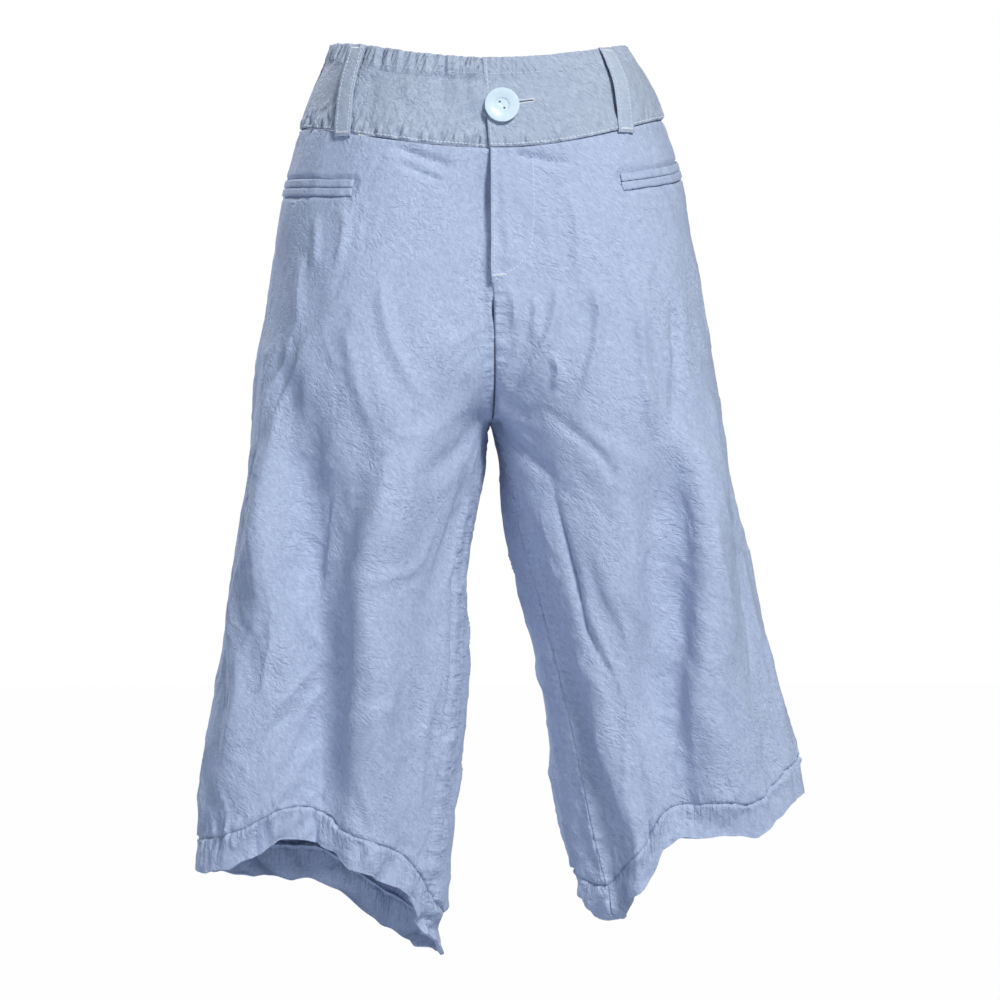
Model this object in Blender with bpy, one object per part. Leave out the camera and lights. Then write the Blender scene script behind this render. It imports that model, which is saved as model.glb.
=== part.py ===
"""Capri pants in the hollow form that they take when worn.

Every cloth piece is a thin wall on one smooth form, which is worked out from the short
tables of sizes below: what a tape would measure across the garment at a few heights.
X points to the wearer's left, -Y to the front and Z up.  The origin is the middle of the
waist opening, level with its highest edge.  Sizes are millimetres until a mesh is made.
"""

import math

import bmesh
import bpy
import numpy as np
from mathutils import Vector

MM = 0.001

# Cloth and seams.
WALL = 1.4                  # linen panel
HEM_WALL = 2.6              # linen turned up twice at the hem
HEM_DEPTH = 28.0
BAND_WALL = 2.2             # two layers of linen with a stiffener between them
BAND_PROUD = 0.6            # how far the band's face stands out of the panels'
SEAM_GAP = 0.3              # between pieces that are sewn together
LIE_GAP = 0.5               # between a panel and a piece that lies on it

# Heights of the main lines at the centre front, the sides and the centre back.
WAIST_FRONT, WAIST_SIDE, WAIST_BACK = -19.0, 0.0, 0.0
SEAM_FRONT, SEAM_BACK = -92.0, -62.0
SEAM_SIDE = {"right": -70.0, "left": -61.0}
CROTCH = -318.0
CROTCH_X, CROTCH_Y = 3.5, -5.0
CURVE_FRONT, CURVE_BACK = -190.0, -150.0    # where the centre seams start to curve under
CURVE_LATE, CURVE_ROUND = 2.6, 2.2          # powers of that curve

# Fly front: the wearer's left side laps over the right one.
FLY_EDGE = -1.5             # where the upper layer ends, beside the centre front
FLY_END = -196.0
FLY_UNDER = 12.0            # how far the lower layer runs on under the upper one
BAND_EDGE_TOP, BAND_EDGE_LOW = -7.0, -2.5
BAND_UNDER = 34.0
LAP_DROP = 2.4              # how far the lower layer is set back
LAP_RUN = 22.0              # distance over which it is set back
LAP_TAIL = 30.0             # how far below the fly the lower layer comes forward again
LAP_FLAT, BAND_FLAT = 2.0, 9.0      # how far past the centre it stays set back
LAP_ROOM = 0.9              # between the band's two laps
LAP_STRETCH = 3             # power by which the panel's columns close up on the fly's edge

# Belt loops: where each crosses the band, round its side, at its top and its low end.
LOOPS = {
    "front_right": ("right", 0.63, 0.585),
    "front_left": ("left", 0.57, 0.545),
    "side_back_right": ("right", 1.48, 1.46),
    "side_back_left": ("left", 1.48, 1.46),
    "centre_back": ("right", 2.0, 2.0),
}
LOOP_WIDTH, LOOP_WALL, LOOP_TOP, LOOP_TAIL = 16.0, 1.8, 1.0, 4.0
LOOP_BOW, LOOP_BOW_FULL = 2.6, 0.7

# Welt pockets: the inner end round its side, and the slit's height there and at the side.
POCKETS = {
    "right": (0.50, -124.5, -119.5),
    "left": (0.47, -119.0, -101.5),
}
WELT_DEPTH, WELT_SPLIT, WELT_WALL, WELT_OUTER = 6.2, 0.8, 1.4, 0.975

# Button, centred on the wearer's left of the fly.
BUTTON_X, BUTTON_Z = 7.6, -58.5
BUTTON_PROFILE = (          # distance from the axis, height
    (0.0, 0.0), (12.6, 0.0), (13.7, 0.6), (14.0, 1.7), (13.5, 2.9), (12.4, 3.5),
    (7.2, 3.3), (5.6, 2.9), (4.9, 2.1), (0.0, 2.0),
)
BUTTON_SIDES, HOLE_SIDES = 40, 12
HOLE_RADIUS, HOLE_OFF, HOLE_TURN = 0.9, 3.1, math.radians(-54.0)
CUTTER_LENGTH = 20.0

# Facets: strips across each piece.
FRONT_COLUMNS, BACK_COLUMNS, BAND_COLUMNS, BACK_BAND_COLUMNS = 18, 14, 9, 22
BAND_FIRST, BAND_FIRST_ROOM = (-16.0, 0.0, 10.0, 22.0, 34.0), 5.0
RISE_ROWS, LEG_ROWS, BAND_ROWS, LOOP_ROWS, WELT_COLUMNS = 12, 13, 3, 8, 8
RISE_CLOSER = 1.5           # power by which the rows close up towards the crotch

LINEN, LINEN_LIGHT, LINEN_ROUGH = (0.43, 0.50, 0.66), (0.47, 0.54, 0.70), 0.85
SHELL, SHELL_ROUGH = (0.78, 0.79, 0.80), 0.25


class Table:
    """Rows of sizes with named columns, read between the rows by a smooth curve."""

    def __init__(self, columns, *rows):
        self.columns = columns.split()
        self.values = np.array(sorted(rows), dtype=float)
        keys = self.values[:, 0]
        rise = np.diff(self.values, axis=0) / np.diff(keys)[:, None]
        slopes = np.zeros_like(self.values)
        slopes[0], slopes[-1] = rise[0], rise[-1]
        before, after = rise[:-1], rise[1:]
        same_way = before * after > 0.0
        total = np.where(same_way, before + after, 1.0)
        slopes[1:-1] = np.where(same_way, 2.0 * before * after / total, 0.0)
        self.slopes = slopes

    def at(self, key):
        """Every column's value at a key, by its name."""
        keys = self.values[:, 0]
        key = min(max(key, keys[0]), keys[-1])
        i = min(int(np.searchsorted(keys, key, side="right")) - 1, len(keys) - 2)
        step = keys[i + 1] - keys[i]
        t = (key - keys[i]) / step
        low, high = self.values[i], self.values[i + 1]
        lean_low, lean_high = self.slopes[i] * step, self.slopes[i + 1] * step
        value = ((2.0 * t + 1.0) * (1.0 - t) ** 2 * low + t * (1.0 - t) ** 2 * lean_low
                 + t * t * (3.0 - 2.0 * t) * high - t * t * (1.0 - t) * lean_high)
        return dict(zip(self.columns, value))


# The body of the garment, alike on both sides: how far it reaches to the front and the
# back, where the side seam lies, how far out its front and back are flat (as a share of
# the width), and how round its inner and outer corners are (2 is an ellipse).
BODY = Table(
    "z     front  back  side  flat_f  flat_b  inner  outer",
    (0,    -97,    97,   0,   0.10,   0.10,   2.0,   2.05),
    (-72,  -106,   110,  0,   0.14,   0.16,   1.8,   2.10),
    (-110, -110,   119,  2,   0.18,   0.22,   1.5,   2.15),
    (-150, -113,   127,  4,   0.24,   0.30,   1.3,   2.20),
    (-190, -115,   131,  5,   0.30,   0.36,   1.18,  2.20),
    (-230, -117,   131,  5,   0.36,   0.40,   1.15,  2.20),
    (-270, -118,   127,  4,   0.40,   0.42,   1.20,  2.20),
    (-295, -118,   122,  3,   0.42,   0.44,   1.32,  2.20),
    (-310, -118,   119,  2,   0.43,   0.45,   1.52,  2.20),
    (-318, -118,   117,  2,   0.43,   0.45,   1.90,  2.20),
    (-350, -116,   110,  1,   0.45,   0.46,   2.0,   2.20),
    (-400, -112,   100,  -2,  0.46,   0.47,   2.1,   2.20),
    (-460, -106,    89,  -5,  0.46,   0.48,   2.1,   2.20),
    (-520,  -99,    77,  -8,  0.46,   0.48,   2.1,   2.20),
    (-580,  -91,    66,  -10, 0.46,   0.48,   2.1,   2.20),
    (-640,  -84,    56,  -11, 0.46,   0.48,   2.1,   2.20),
    (-700,  -80,    50,  -12, 0.46,   0.48,   2.1,   2.20),
    (-760,  -78,    48,  -12, 0.46,   0.48,   2.1,   2.20),
)

# Each side's widths: the outer edge, the inner edge below the crotch, and how far the
# inseam has turned to the front of the innermost line.
RIGHT = Table(
    "z     outer    inner   turn",
    (0,    -127.5,  0,      0),
    (-40,  -144.7,  0,      0),
    (-72,  -154.8,  0,      0),
    (-110, -165.4,  0,      0),
    (-150, -173.0,  0,      0),
    (-190, -178.4,  0,      0),
    (-230, -185.1,  0,      0),
    (-270, -191.9,  0,      0),
    (-318, -196.1,  3.35,   0),
    (-350, -197.7,  -0.8,   22),
    (-400, -206.2,  -10.5,  32),
    (-460, -215.9,  -15.1,  34),
    (-520, -222.6,  -14.3,  38),
    (-580, -233.9,  -17.7,  40),
    (-640, -239.0,  -25.2,  40),
    (-700, -240.0,  -30.3,  40),
    (-760, -240.0,  -37.9,  40),
)
LEFT = Table(
    "z     outer    inner   turn",
    (0,    118.2,   0,      0),
    (-40,  142.6,   0,      0),
    (-72,  151.5,   0,      0),
    (-110, 166.6,   0,      0),
    (-150, 172.9,   0,      0),
    (-190, 181.3,   0,      0),
    (-230, 185.0,   0,      0),
    (-270, 191.0,   0,      0),
    (-318, 199.4,   3.65,   0),
    (-350, 204.5,   11.8,   30),
    (-400, 213.7,   17.7,   44),
    (-460, 228.5,   31.6,   48),
    (-520, 242.8,   44.2,   50),
    (-580, 259.2,   53.0,   54),
    (-640, 270.0,   61.4,   56),
    (-700, 275.0,   74.0,   56),
    (-760, 278.0,   88.0,   56),
)
SIDES = {"right": RIGHT, "left": LEFT}
SIGN = {"right": -1.0, "left": 1.0}
OTHER = {"right": "left", "left": "right"}

# Hem heights round each leg; around is 0 at the inseam, 1 at the side seam, 2 at the inseam.
HEMS = {
    "right": Table(
        "around  z",
        (0.00, -745), (0.08, -722), (0.16, -700), (0.30, -684), (0.39, -674),
        (0.47, -659), (0.58, -656), (0.66, -667), (0.76, -679), (0.88, -686),
        (1.00, -689), (1.18, -696), (1.30, -700), (1.45, -704), (1.54, -724),
        (1.63, -743), (1.71, -758), (1.84, -761), (2.00, -745),
    ),
    "left": Table(
        "around  z",
        (0.00, -736), (0.05, -724), (0.11, -709), (0.17, -699), (0.23, -683),
        (0.28, -664), (0.36, -656), (0.54, -655), (0.61, -657), (0.69, -647),
        (0.79, -632), (0.90, -622), (1.00, -616), (1.20, -626), (1.40, -645),
        (1.60, -664), (1.76, -690), (1.89, -724), (2.00, -736),
    ),
}

# Folds: where the crest runs round the leg at its top and low end, the heights where it
# starts, is full and ends, its reach towards the inseam and the side seam, its height.
FOLD_COLUMNS = ("top", "low", "z_top", "z_full", "z_low", "inward", "outward", "height")
FOLDS = {
    "right": (
        (0.38, 0.34, -250, -430, -800, 58, 30, 8),
        (0.54, 0.47, -250, -430, -800, 44, 75, -15),
        (0.71, 0.62, -235, -310, -430, 22, 20, -6),
        (0.82, 0.74, -235, -310, -430, 20, 22, 4),
        (1.30, 1.22, -260, -400, -800, 34, 34, -6),
        (1.50, 1.52, -240, -420, -800, 50, 70, -13),
        (1.68, 1.66, -280, -430, -800, 34, 46, 7),
    ),
    "left": (
        (0.70, 0.46, -270, -400, -620, 20, 62, 7),
        (0.62, 0.40, -270, -400, -620, 46, 30, -12),
        (0.17, 0.19, -440, -560, -800, 24, 34, 6),
        (0.06, 0.08, -440, -560, -800, 22, 22, -6),
        (1.26, 1.30, -260, -400, -800, 36, 48, 7),
        (1.46, 1.52, -250, -410, -800, 56, 62, -13),
        (1.78, 1.76, -300, -450, -800, 30, 34, -6),
    ),
}
FOLD_END = 60.0             # distance over which a fold dies out below its low end
RUN_REACH = 1.5             # distance each way over which an outline's direction is taken
FACING_REACH = 0.015        # share of a panel over which its slope is taken
FACING_RISE = 1.0           # and the height over which it is taken


def ease(t):
    """Smooth step from 0 to 1."""
    t = min(max(t, 0.0), 1.0)
    return t * t * (3.0 - 2.0 * t)


def quarter(start, end, along_y, roundness, steps=20):
    """Points of a quarter superellipse; it leaves its start along Y or along X."""
    angle = np.linspace(0.0, math.pi / 2.0, steps)
    early = np.sin(angle) ** (2.0 / roundness)
    late = 1.0 - np.cos(angle) ** (2.0 / roundness)
    share = (late, early) if along_y else (early, late)
    return np.stack([start[i] + (end[i] - start[i]) * share[i] for i in (0, 1)], axis=1)


def crotch_y(z, top, start):
    """How far forward or back the centre seam lies at a height above the crotch."""
    t = min(max((top - z) / (top - CROTCH), 0.0), 1.0)
    return CROTCH_Y + (start - CROTCH_Y) * (1.0 - t ** CURVE_LATE) ** (1.0 / CURVE_ROUND)


def ring(side, z):
    """Outline of one side at a height, with its length to the start, side seam and end."""
    body, width = BODY.at(z), SIDES[side].at(z)
    if z >= CROTCH:
        centre = CROTCH_X * ease((CURVE_FRONT - z) / (CURVE_FRONT - CROTCH))
        inner = centre + SIGN[side] * SEAM_GAP / 2.0
        y_start = crotch_y(z, CURVE_FRONT, body["front"])
        y_end = crotch_y(z, CURVE_BACK, body["back"])
    else:
        inner = width["inner"]
        y_start = y_end = CROTCH_Y
    across = width["outer"] - inner
    front = (inner + body["flat_f"] * across, body["front"])
    back = (inner + body["flat_b"] * across, body["back"])
    seam = (width["outer"], body["side"])
    arcs = (
        quarter((inner, y_start), front, True, body["inner"]),
        quarter(front, seam, False, body["outer"])[1:],
        quarter(seam, back, True, body["outer"])[1:],
        quarter(back, (inner, y_end), False, body["inner"])[1:],
    )
    points = np.concatenate(arcs)
    length = np.concatenate([[0.0], np.cumsum(np.hypot(*np.diff(points, axis=0).T))])
    side_at = length[len(arcs[0]) + len(arcs[1]) - 1]
    return points, length, side_at, width["turn"]


def on_ring(points, length, at, closed):
    """Point at a length along an outline; a closed one runs on past its end."""
    if closed:
        at = at % length[-1]
    return np.array([np.interp(at, length, points[:, 0]), np.interp(at, length, points[:, 1])])


def fold_height(side, at, z, place_of, girth):
    """Sum of the folds at a length round the cloth; place_of turns a share into a length,
    and girth is the length once round a leg, where folds run on across the inseam."""
    total = 0.0
    for row in FOLDS[side]:
        fold = dict(zip(FOLD_COLUMNS, row))
        if z > fold["z_top"]:
            continue
        run = (fold["z_top"] - z) / (fold["z_top"] - fold["z_low"])
        crest = fold["top"] + (fold["low"] - fold["top"]) * run
        off = at - place_of(crest)
        if z < CROTCH:
            off = (off + girth / 2.0) % girth - girth / 2.0
        off = off / (fold["outward"] if off > 0.0 else fold["inward"])
        if abs(off) >= 1.0:
            continue
        grown = ease((fold["z_top"] - z) / (fold["z_top"] - fold["z_full"]))
        left = 1.0 - ease((fold["z_low"] - z) / FOLD_END)
        total += fold["height"] * grown * left * math.cos(off * math.pi / 2.0) ** 2
    return total


def surface(side, around, z):
    """Point on the cloth's face: around is 0 at the centre front or the inseam, 1 at the
    side seam and 2 at the back.  Past a centre line it lies on the garment's other side,
    and past the inseam it runs on round the same leg."""
    closed = z < CROTCH
    if closed:
        around = around % 2.0 if not 0.0 <= around <= 2.0 else around
    elif around < 0.0:
        side, around = OTHER[side], -around
    elif around > 2.0:
        side, around = OTHER[side], 4.0 - around
    points, length, side_at, turn = ring(side, z)
    last = length[-1] + turn

    def place_of(share):
        if share <= 1.0:
            return turn + share * (side_at - turn)
        return side_at + (share - 1.0) * (last - side_at)

    at = place_of(around)
    place = on_ring(points, length, at, closed)
    ahead = on_ring(points, length, at + RUN_REACH, closed)
    run = ahead - on_ring(points, length, at - RUN_REACH, closed)
    out = np.array([run[1], -run[0]]) * SIGN[side] / max(math.hypot(*run), 1e-9)
    place = place + out * fold_height(side, at, z, place_of, length[-1])
    return np.array([place[0], place[1], z])


def facing(side, around, z):
    """Direction that the cloth's face looks in; at a centre line only its own side counts."""
    low, high = around - FACING_REACH, around + FACING_REACH
    if z >= CROTCH and 0.0 <= around <= 2.0:
        low, high = max(low, 0.0), min(high, 2.0)
    across = surface(side, high, z) - surface(side, low, z)
    upward = surface(side, around, z + FACING_RISE) - surface(side, around, z - FACING_RISE)
    out = np.cross(across, upward) * SIGN[side]
    return out / np.linalg.norm(out)


def front_length(side, z):
    """Length of the front from its centre or inseam to the side seam."""
    points, length, side_at, turn = ring(side, z)
    return side_at - turn


def line_height(around, front, side, back):
    """Height of a line that runs round the waist, from its front, side and back heights."""
    if around <= 1.0:
        return side + (front - side) * math.cos(around * math.pi / 2.0) ** 2
    return side + (back - side) * math.sin((around - 1.0) * math.pi / 2.0) ** 2


def seam_height(side, around):
    """Height of the seam between the waistband and the panels."""
    if around > 2.0:
        side, around = OTHER[side], 4.0 - around
    return line_height(abs(around), SEAM_FRONT, SEAM_SIDE[side], SEAM_BACK)


def top_height(around):
    """Height of the waistband's top edge."""
    if around > 2.0:
        around = 4.0 - around
    return line_height(abs(around), WAIST_FRONT, WAIST_SIDE, WAIST_BACK)


def finish(name, colour, roughness):
    """Material of one piece."""
    material = bpy.data.materials.new(name)
    material.use_nodes = True
    shader = material.node_tree.nodes["Principled BSDF"]
    shader.inputs["Base Color"].default_value = (*colour, 1.0)
    shader.inputs["Roughness"].default_value = roughness
    return material


def wall(name, face, back, colour=LINEN):
    """A closed thin solid between two grids of points, both in millimetres.

    Both grids are cut into triangles along the same diagonals, so the wall keeps its
    thickness where the cloth is twisted.
    """
    rows, columns = len(face), len(face[0])
    verts = [tuple(point * MM) for grid in (face, back) for row in grid for point in row]
    layer = rows * columns
    faces = []
    for i in range(rows - 1):
        for j in range(columns - 1):
            a = i * columns + j
            b, c, d = a + 1, a + columns + 1, a + columns
            for tri in ((a, b, c), (a, c, d)):
                faces.append(tri)
                faces.append(tuple(layer + k for k in reversed(tri)))
    rim = list(range(columns))
    rim += [i * columns + columns - 1 for i in range(1, rows)]
    rim += [(rows - 1) * columns + j for j in range(columns - 2, -1, -1)]
    rim += [i * columns for i in range(rows - 2, 0, -1)]
    for k, here in enumerate(rim):
        after = rim[(k + 1) % len(rim)]
        faces.append((after, here, layer + here))
        faces.append((after, layer + here, layer + after))
    mesh = bpy.data.meshes.new(name)
    mesh.from_pydata(verts, [], faces)
    edit = bmesh.new()
    edit.from_mesh(mesh)
    if edit.calc_volume(signed=True) < 0.0:
        bmesh.ops.reverse_faces(edit, faces=edit.faces)
    edit.to_mesh(mesh)
    edit.free()
    mesh.materials.append(finish(name, colour, LINEN_ROUGH))
    piece = bpy.data.objects.new(name, mesh)
    bpy.context.collection.objects.link(piece)
    return piece


def lie_on_form(name, side, places, colour=LINEN):
    """A wall from rows of places (around, z, height of its face, thickness)."""
    face, back = [], []
    for row in places:
        points = [(surface(side, place[0], place[1]), facing(side, place[0], place[1]), place)
                  for place in row]
        face.append([point + out * place[2] for point, out, place in points])
        back.append([point + out * (place[2] - place[3]) for point, out, place in points])
    return wall(name, face, back, colour)


def row_heights(side, around):
    """Heights down a panel at one place round it: seam, crotch, hem stitching and hem."""
    top = seam_height(side, around) - SEAM_GAP / 2.0
    hem = HEMS[side].at(around)["z"]
    rise = [top + (CROTCH - top) * (1.0 - (1.0 - k / RISE_ROWS) ** RISE_CLOSER)
            for k in range(RISE_ROWS)]
    stitch = hem + HEM_DEPTH
    leg = [CROTCH + (stitch - CROTCH) * k / LEG_ROWS for k in range(LEG_ROWS + 1)]
    return rise + leg + [hem]


def panel(name, side, start, columns, lap=None):
    """Front or back of one side; lap gives the fly's edge and its drop at a height."""
    rows = [[] for _ in range(RISE_ROWS + LEG_ROWS + 2)]
    for j in range(columns + 1):
        share = j / columns
        around = start + share
        for i, z in enumerate(row_heights(side, around)):
            length = front_length(side, z)
            edge, drop = lap(z) if lap else (0.0, 0.0)
            place = around + SEAM_GAP / length * (0.5 - share)
            place += edge / length * (1.0 - share) ** LAP_STRETCH
            if lap and edge:
                z = row_heights(side, place)[i]
            set_back = drop * (1.0 - ease((place * length - LAP_FLAT) / LAP_RUN))
            thickness = HEM_WALL if i == len(rows) - 1 else WALL
            rows[i].append((place, z, -set_back, thickness))
    return lie_on_form(name, side, rows)


def upper_lap(z):
    """Fly edge of the upper layer: how far it starts from the centre, and its drop."""
    return (FLY_EDGE if z > FLY_END else 0.0), 0.0


def lower_lap(z):
    """Fly edge of the lower layer, which stays set back for one row below the fly."""
    return (-FLY_UNDER if z > FLY_END else 0.0), (LAP_DROP if z > FLY_END - LAP_TAIL else 0.0)


def band_place(side, around, share, set_back):
    """One point of the waistband, from its low edge (share 0) to its top edge (share 1)."""
    low = seam_height(side, around) + SEAM_GAP / 2.0
    z = low + (top_height(around) - low) * share
    return around, z, BAND_PROUD - set_back, BAND_WALL


def band_front(name, side, edges, drop):
    """One front stretch of the waistband; edges gives where its end lies, low and top."""
    rows = []
    for k in range(BAND_ROWS + 1):
        share = k / BAND_ROWS
        edge = edges[0] + (edges[1] - edges[0]) * share
        length = front_length(side, SEAM_FRONT + (WAIST_FRONT - SEAM_FRONT) * share)
        step = (length - BAND_FIRST[-1]) / BAND_COLUMNS
        evenly = [BAND_FIRST[-1] + step * (j + 1) for j in range(BAND_COLUMNS)]
        evenly[-1] -= SEAM_GAP / 2.0
        first = [at for at in BAND_FIRST if at > max(edges) + BAND_FIRST_ROOM]
        row = []
        for at in [edge] + first + evenly:
            set_back = drop * (1.0 - ease((at - BAND_FLAT) / LAP_RUN))
            row.append(band_place(side, at / length, share, set_back))
        rows.append(row)
    return lie_on_form(name, side, rows)


def band_back():
    """The back stretch of the waistband, from side seam to side seam."""
    rows = []
    for k in range(BAND_ROWS + 1):
        share = k / BAND_ROWS
        gap = SEAM_GAP / front_length("right", WAIST_BACK)
        arounds = [1.0 + gap / 2.0 + (2.0 - gap) * j / BACK_BAND_COLUMNS
                   for j in range(BACK_BAND_COLUMNS + 1)]
        rows.append([band_place("right", around, share, 0.0) for around in arounds])
    return lie_on_form("waistband_back", "right", rows)


def belt_loop(name, side, top, low):
    """A stitched strip over the band, caught at its ends and a little bowed between."""
    rows = []
    for k in range(LOOP_ROWS + 1):
        share = k / LOOP_ROWS
        middle = low + (top - low) * share
        bow = LOOP_BOW * math.sin(share * math.pi) ** LOOP_BOW_FULL
        row = []
        for off in (-0.5, 0.0, 0.5):
            low_z = seam_height(side, middle) - LOOP_TAIL
            z = low_z + (top_height(middle) - LOOP_TOP - low_z) * share
            around = middle + off * LOOP_WIDTH / front_length(side, z)
            row.append((around, z, BAND_PROUD + LIE_GAP + bow + LOOP_WALL, LOOP_WALL))
        rows.append(row)
    lie_on_form(name, side, rows, LINEN_LIGHT)


def welt(name, side, inner, z_inner, z_side, low, high):
    """One lip of a pocket mouth, from its inner end to just short of the side seam."""
    rows = []
    for off in (low, high):
        row = []
        for j in range(WELT_COLUMNS + 1):
            share = j / WELT_COLUMNS
            around = inner + (WELT_OUTER - inner) * share
            z = z_inner + (z_side - z_inner) * share + off
            row.append((around, z, LIE_GAP + WELT_WALL, WELT_WALL))
        rows.append(row)
    lie_on_form(name, side, rows, LINEN_LIGHT)


def button():
    """A two-hole button with a raised rim and a dished middle, turned about its axis."""
    mesh = bpy.data.meshes.new("button")
    edit = bmesh.new()
    verts = [edit.verts.new((x * MM, 0.0, z * MM)) for x, z in BUTTON_PROFILE]
    edges = [edit.edges.new(pair) for pair in zip(verts, verts[1:])]
    bmesh.ops.spin(edit, geom=verts + edges, cent=(0, 0, 0), axis=(0, 0, 1), dvec=(0, 0, 0),
                   angle=2.0 * math.pi, steps=BUTTON_SIDES, use_merge=True)
    bmesh.ops.remove_doubles(edit, verts=edit.verts, dist=1e-6)
    bmesh.ops.recalc_face_normals(edit, faces=edit.faces)
    edit.to_mesh(mesh)
    edit.free()
    mesh.materials.append(finish("button", SHELL, SHELL_ROUGH))
    piece = bpy.data.objects.new("button", mesh)
    bpy.context.collection.objects.link(piece)
    around = BUTTON_X / front_length("left", BUTTON_Z)
    out = facing("left", around, BUTTON_Z)
    seat = surface("left", around, BUTTON_Z) + out * (BAND_PROUD + LIE_GAP)
    piece.location = seat * MM
    piece.rotation_euler = Vector(out).to_track_quat("Z", "Y").to_euler()
    for way in (-1.0, 1.0):
        bpy.ops.mesh.primitive_cylinder_add(
            vertices=HOLE_SIDES, radius=HOLE_RADIUS * MM, depth=CUTTER_LENGTH * MM,
            location=(way * HOLE_OFF * math.cos(HOLE_TURN) * MM,
                      way * HOLE_OFF * math.sin(HOLE_TURN) * MM, 0.0))
        cutter = bpy.context.object
        cutter.name = "button_hole_cutter" + ("_a" if way < 0 else "_b")
        cutter.parent = piece
        cutter.hide_render = True
        cutter.display_type = "WIRE"
        cut = piece.modifiers.new("hole", "BOOLEAN")
        cut.operation = "DIFFERENCE"
        cut.object = cutter


for leftover in list(bpy.data.objects):
    bpy.data.objects.remove(leftover)

panel("front_right", "right", 0.0, FRONT_COLUMNS, lower_lap)
panel("front_left", "left", 0.0, FRONT_COLUMNS, upper_lap)
panel("back_right", "right", 1.0, BACK_COLUMNS)
panel("back_left", "left", 1.0, BACK_COLUMNS)
band_front("waistband_front_left", "left", (BAND_EDGE_LOW, BAND_EDGE_TOP), 0.0)
band_front("waistband_front_right", "right", (-BAND_UNDER, -BAND_UNDER), BAND_WALL + LAP_ROOM)
band_back()
for place, (loop_side, loop_top, loop_low) in LOOPS.items():
    belt_loop("belt_loop_" + place, loop_side, loop_top, loop_low)
for pocket_side, (inner, z_inner, z_side) in POCKETS.items():
    welt("pocket_welt_upper_" + pocket_side, pocket_side, inner, z_inner, z_side,
         WELT_SPLIT / 2.0, WELT_SPLIT / 2.0 + WELT_DEPTH)
    welt("pocket_welt_lower_" + pocket_side, pocket_side, inner, z_inner, z_side,
         -WELT_SPLIT / 2.0 - WELT_DEPTH, -WELT_SPLIT / 2.0)
button()
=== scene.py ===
import math

import bmesh
import bpy
import numpy as np
from mathutils import Matrix, Vector, noise
from mathutils.bvhtree import BVHTree


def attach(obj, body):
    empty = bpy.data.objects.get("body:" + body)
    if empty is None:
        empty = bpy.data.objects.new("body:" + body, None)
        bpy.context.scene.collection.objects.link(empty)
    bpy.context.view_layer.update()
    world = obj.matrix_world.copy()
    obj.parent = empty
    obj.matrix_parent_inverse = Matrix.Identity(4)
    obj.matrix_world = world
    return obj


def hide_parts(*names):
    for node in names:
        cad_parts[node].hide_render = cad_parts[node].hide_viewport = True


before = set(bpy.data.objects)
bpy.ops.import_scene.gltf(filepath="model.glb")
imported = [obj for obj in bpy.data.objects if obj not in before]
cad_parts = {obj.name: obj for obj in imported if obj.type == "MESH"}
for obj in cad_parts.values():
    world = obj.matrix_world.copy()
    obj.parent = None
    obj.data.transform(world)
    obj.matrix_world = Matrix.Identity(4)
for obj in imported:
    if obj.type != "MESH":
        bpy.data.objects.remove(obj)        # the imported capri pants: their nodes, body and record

for leftover in ("Cube", "Camera", "Light"):        # what a new Blender file starts with
    if leftover in bpy.data.objects:
        bpy.data.objects.remove(bpy.data.objects[leftover])
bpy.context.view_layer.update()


# =========================================================================================
# Leg panels.  Two fronts and two backs of one crinkled linen, plain seams at the sides, the
# inseams and the centre, the hem turned up twice and stitched.  Sizes are in millimetres.
# =========================================================================================

MM = 0.001
WELD = 0.002 * MM
RIM_ANGLE = math.radians(68)        # a wall's rim turns away from its faces by more than this
SMOOTH_ANGLE = math.radians(60)
PANEL_CELL = 2.3
CLOTH_WALL, HEM_WALL = 0.9, 2.3
HEM_DEPTH = 28.0
CORNER = 0.4                        # share of a panel's columns that run in under the crotch
TURNED_IN = 3.5                     # seam allowance that shows in the gap of a seam
EDGE_LINES = (0.6, 1.3, 23.3, 24.0, 24.7, 27.3, 28.0, 28.7)   # extra lines of points
SEAM_HOLD, SEAM_FLAT = 2.5, 9.0     # gathers and creases die out this close to a seam
DOWN, ACROSS = 0, 1                 # which way gathers run on the cloth
MEET = 0.15                         # the pieces meet in the middle of the gap between them

HIPS, CROTCH = -160.0, -318.0
HIP_SLACK, SLACK_RUN = 0.5, 200.0   # the cloth crumples less on the hips than down the legs
FLY_END, FLY_REACH = -196.0, 26.0   # where the open fly ends, how far in its layers part
FLY_RISE, FLY_SINK = 2.6, 1.0
FLY_CLOSING, FLY_CLEAR = 8.0, 60.0  # the open edge has none of a seam's gathers
ROLLED = 24.0                       # the right inseam rolls forward and shows this far in
ROLL_STEP, ROLL_EDGE = 1.2, 1.4
ROLL_TOP, ROLL_RUN = CROTCH - 30.0, 60.0

HEM_STEP, HEM_STEP_RUN = 0.6, 2.4
HEM_WAVY, CORNER_WAVY = 70.0, 110.0 # how far up from the hem and out from the inseam
CORNER_RISE = 5.0                   # the hem's corners at the inseam are drawn up by this
HEM_WAVES = (                       # size, seed, how far out and down, each more at the corners
    (30.0, 41.0, 3.0, 4.0, 0.0, 0.0),
    (13.0, 46.0, 1.0, 1.6, 1.6, 1.6),
)

TRAY_DEPTH, TRAY_HALF = 2.2, 7.6    # the panel is cut and sinks a little behind a pocket mouth
POCKET_LINES = {
    "front_right": ((.545, -124.0), (.66, -122.8), (.82, -121.1), (.975, -119.5)),
    "front_left": ((.51, -117.6), (.64, -113.1), (.81, -107.2), (.975, -101.5)),
}

PANELS = {                          # node: which way it looks, which way its rows run
    "front_right": (-1, -1),
    "front_left": (-1, 1),
    "back_right": (1, -1),
    "back_left": (1, 1),
}

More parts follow.
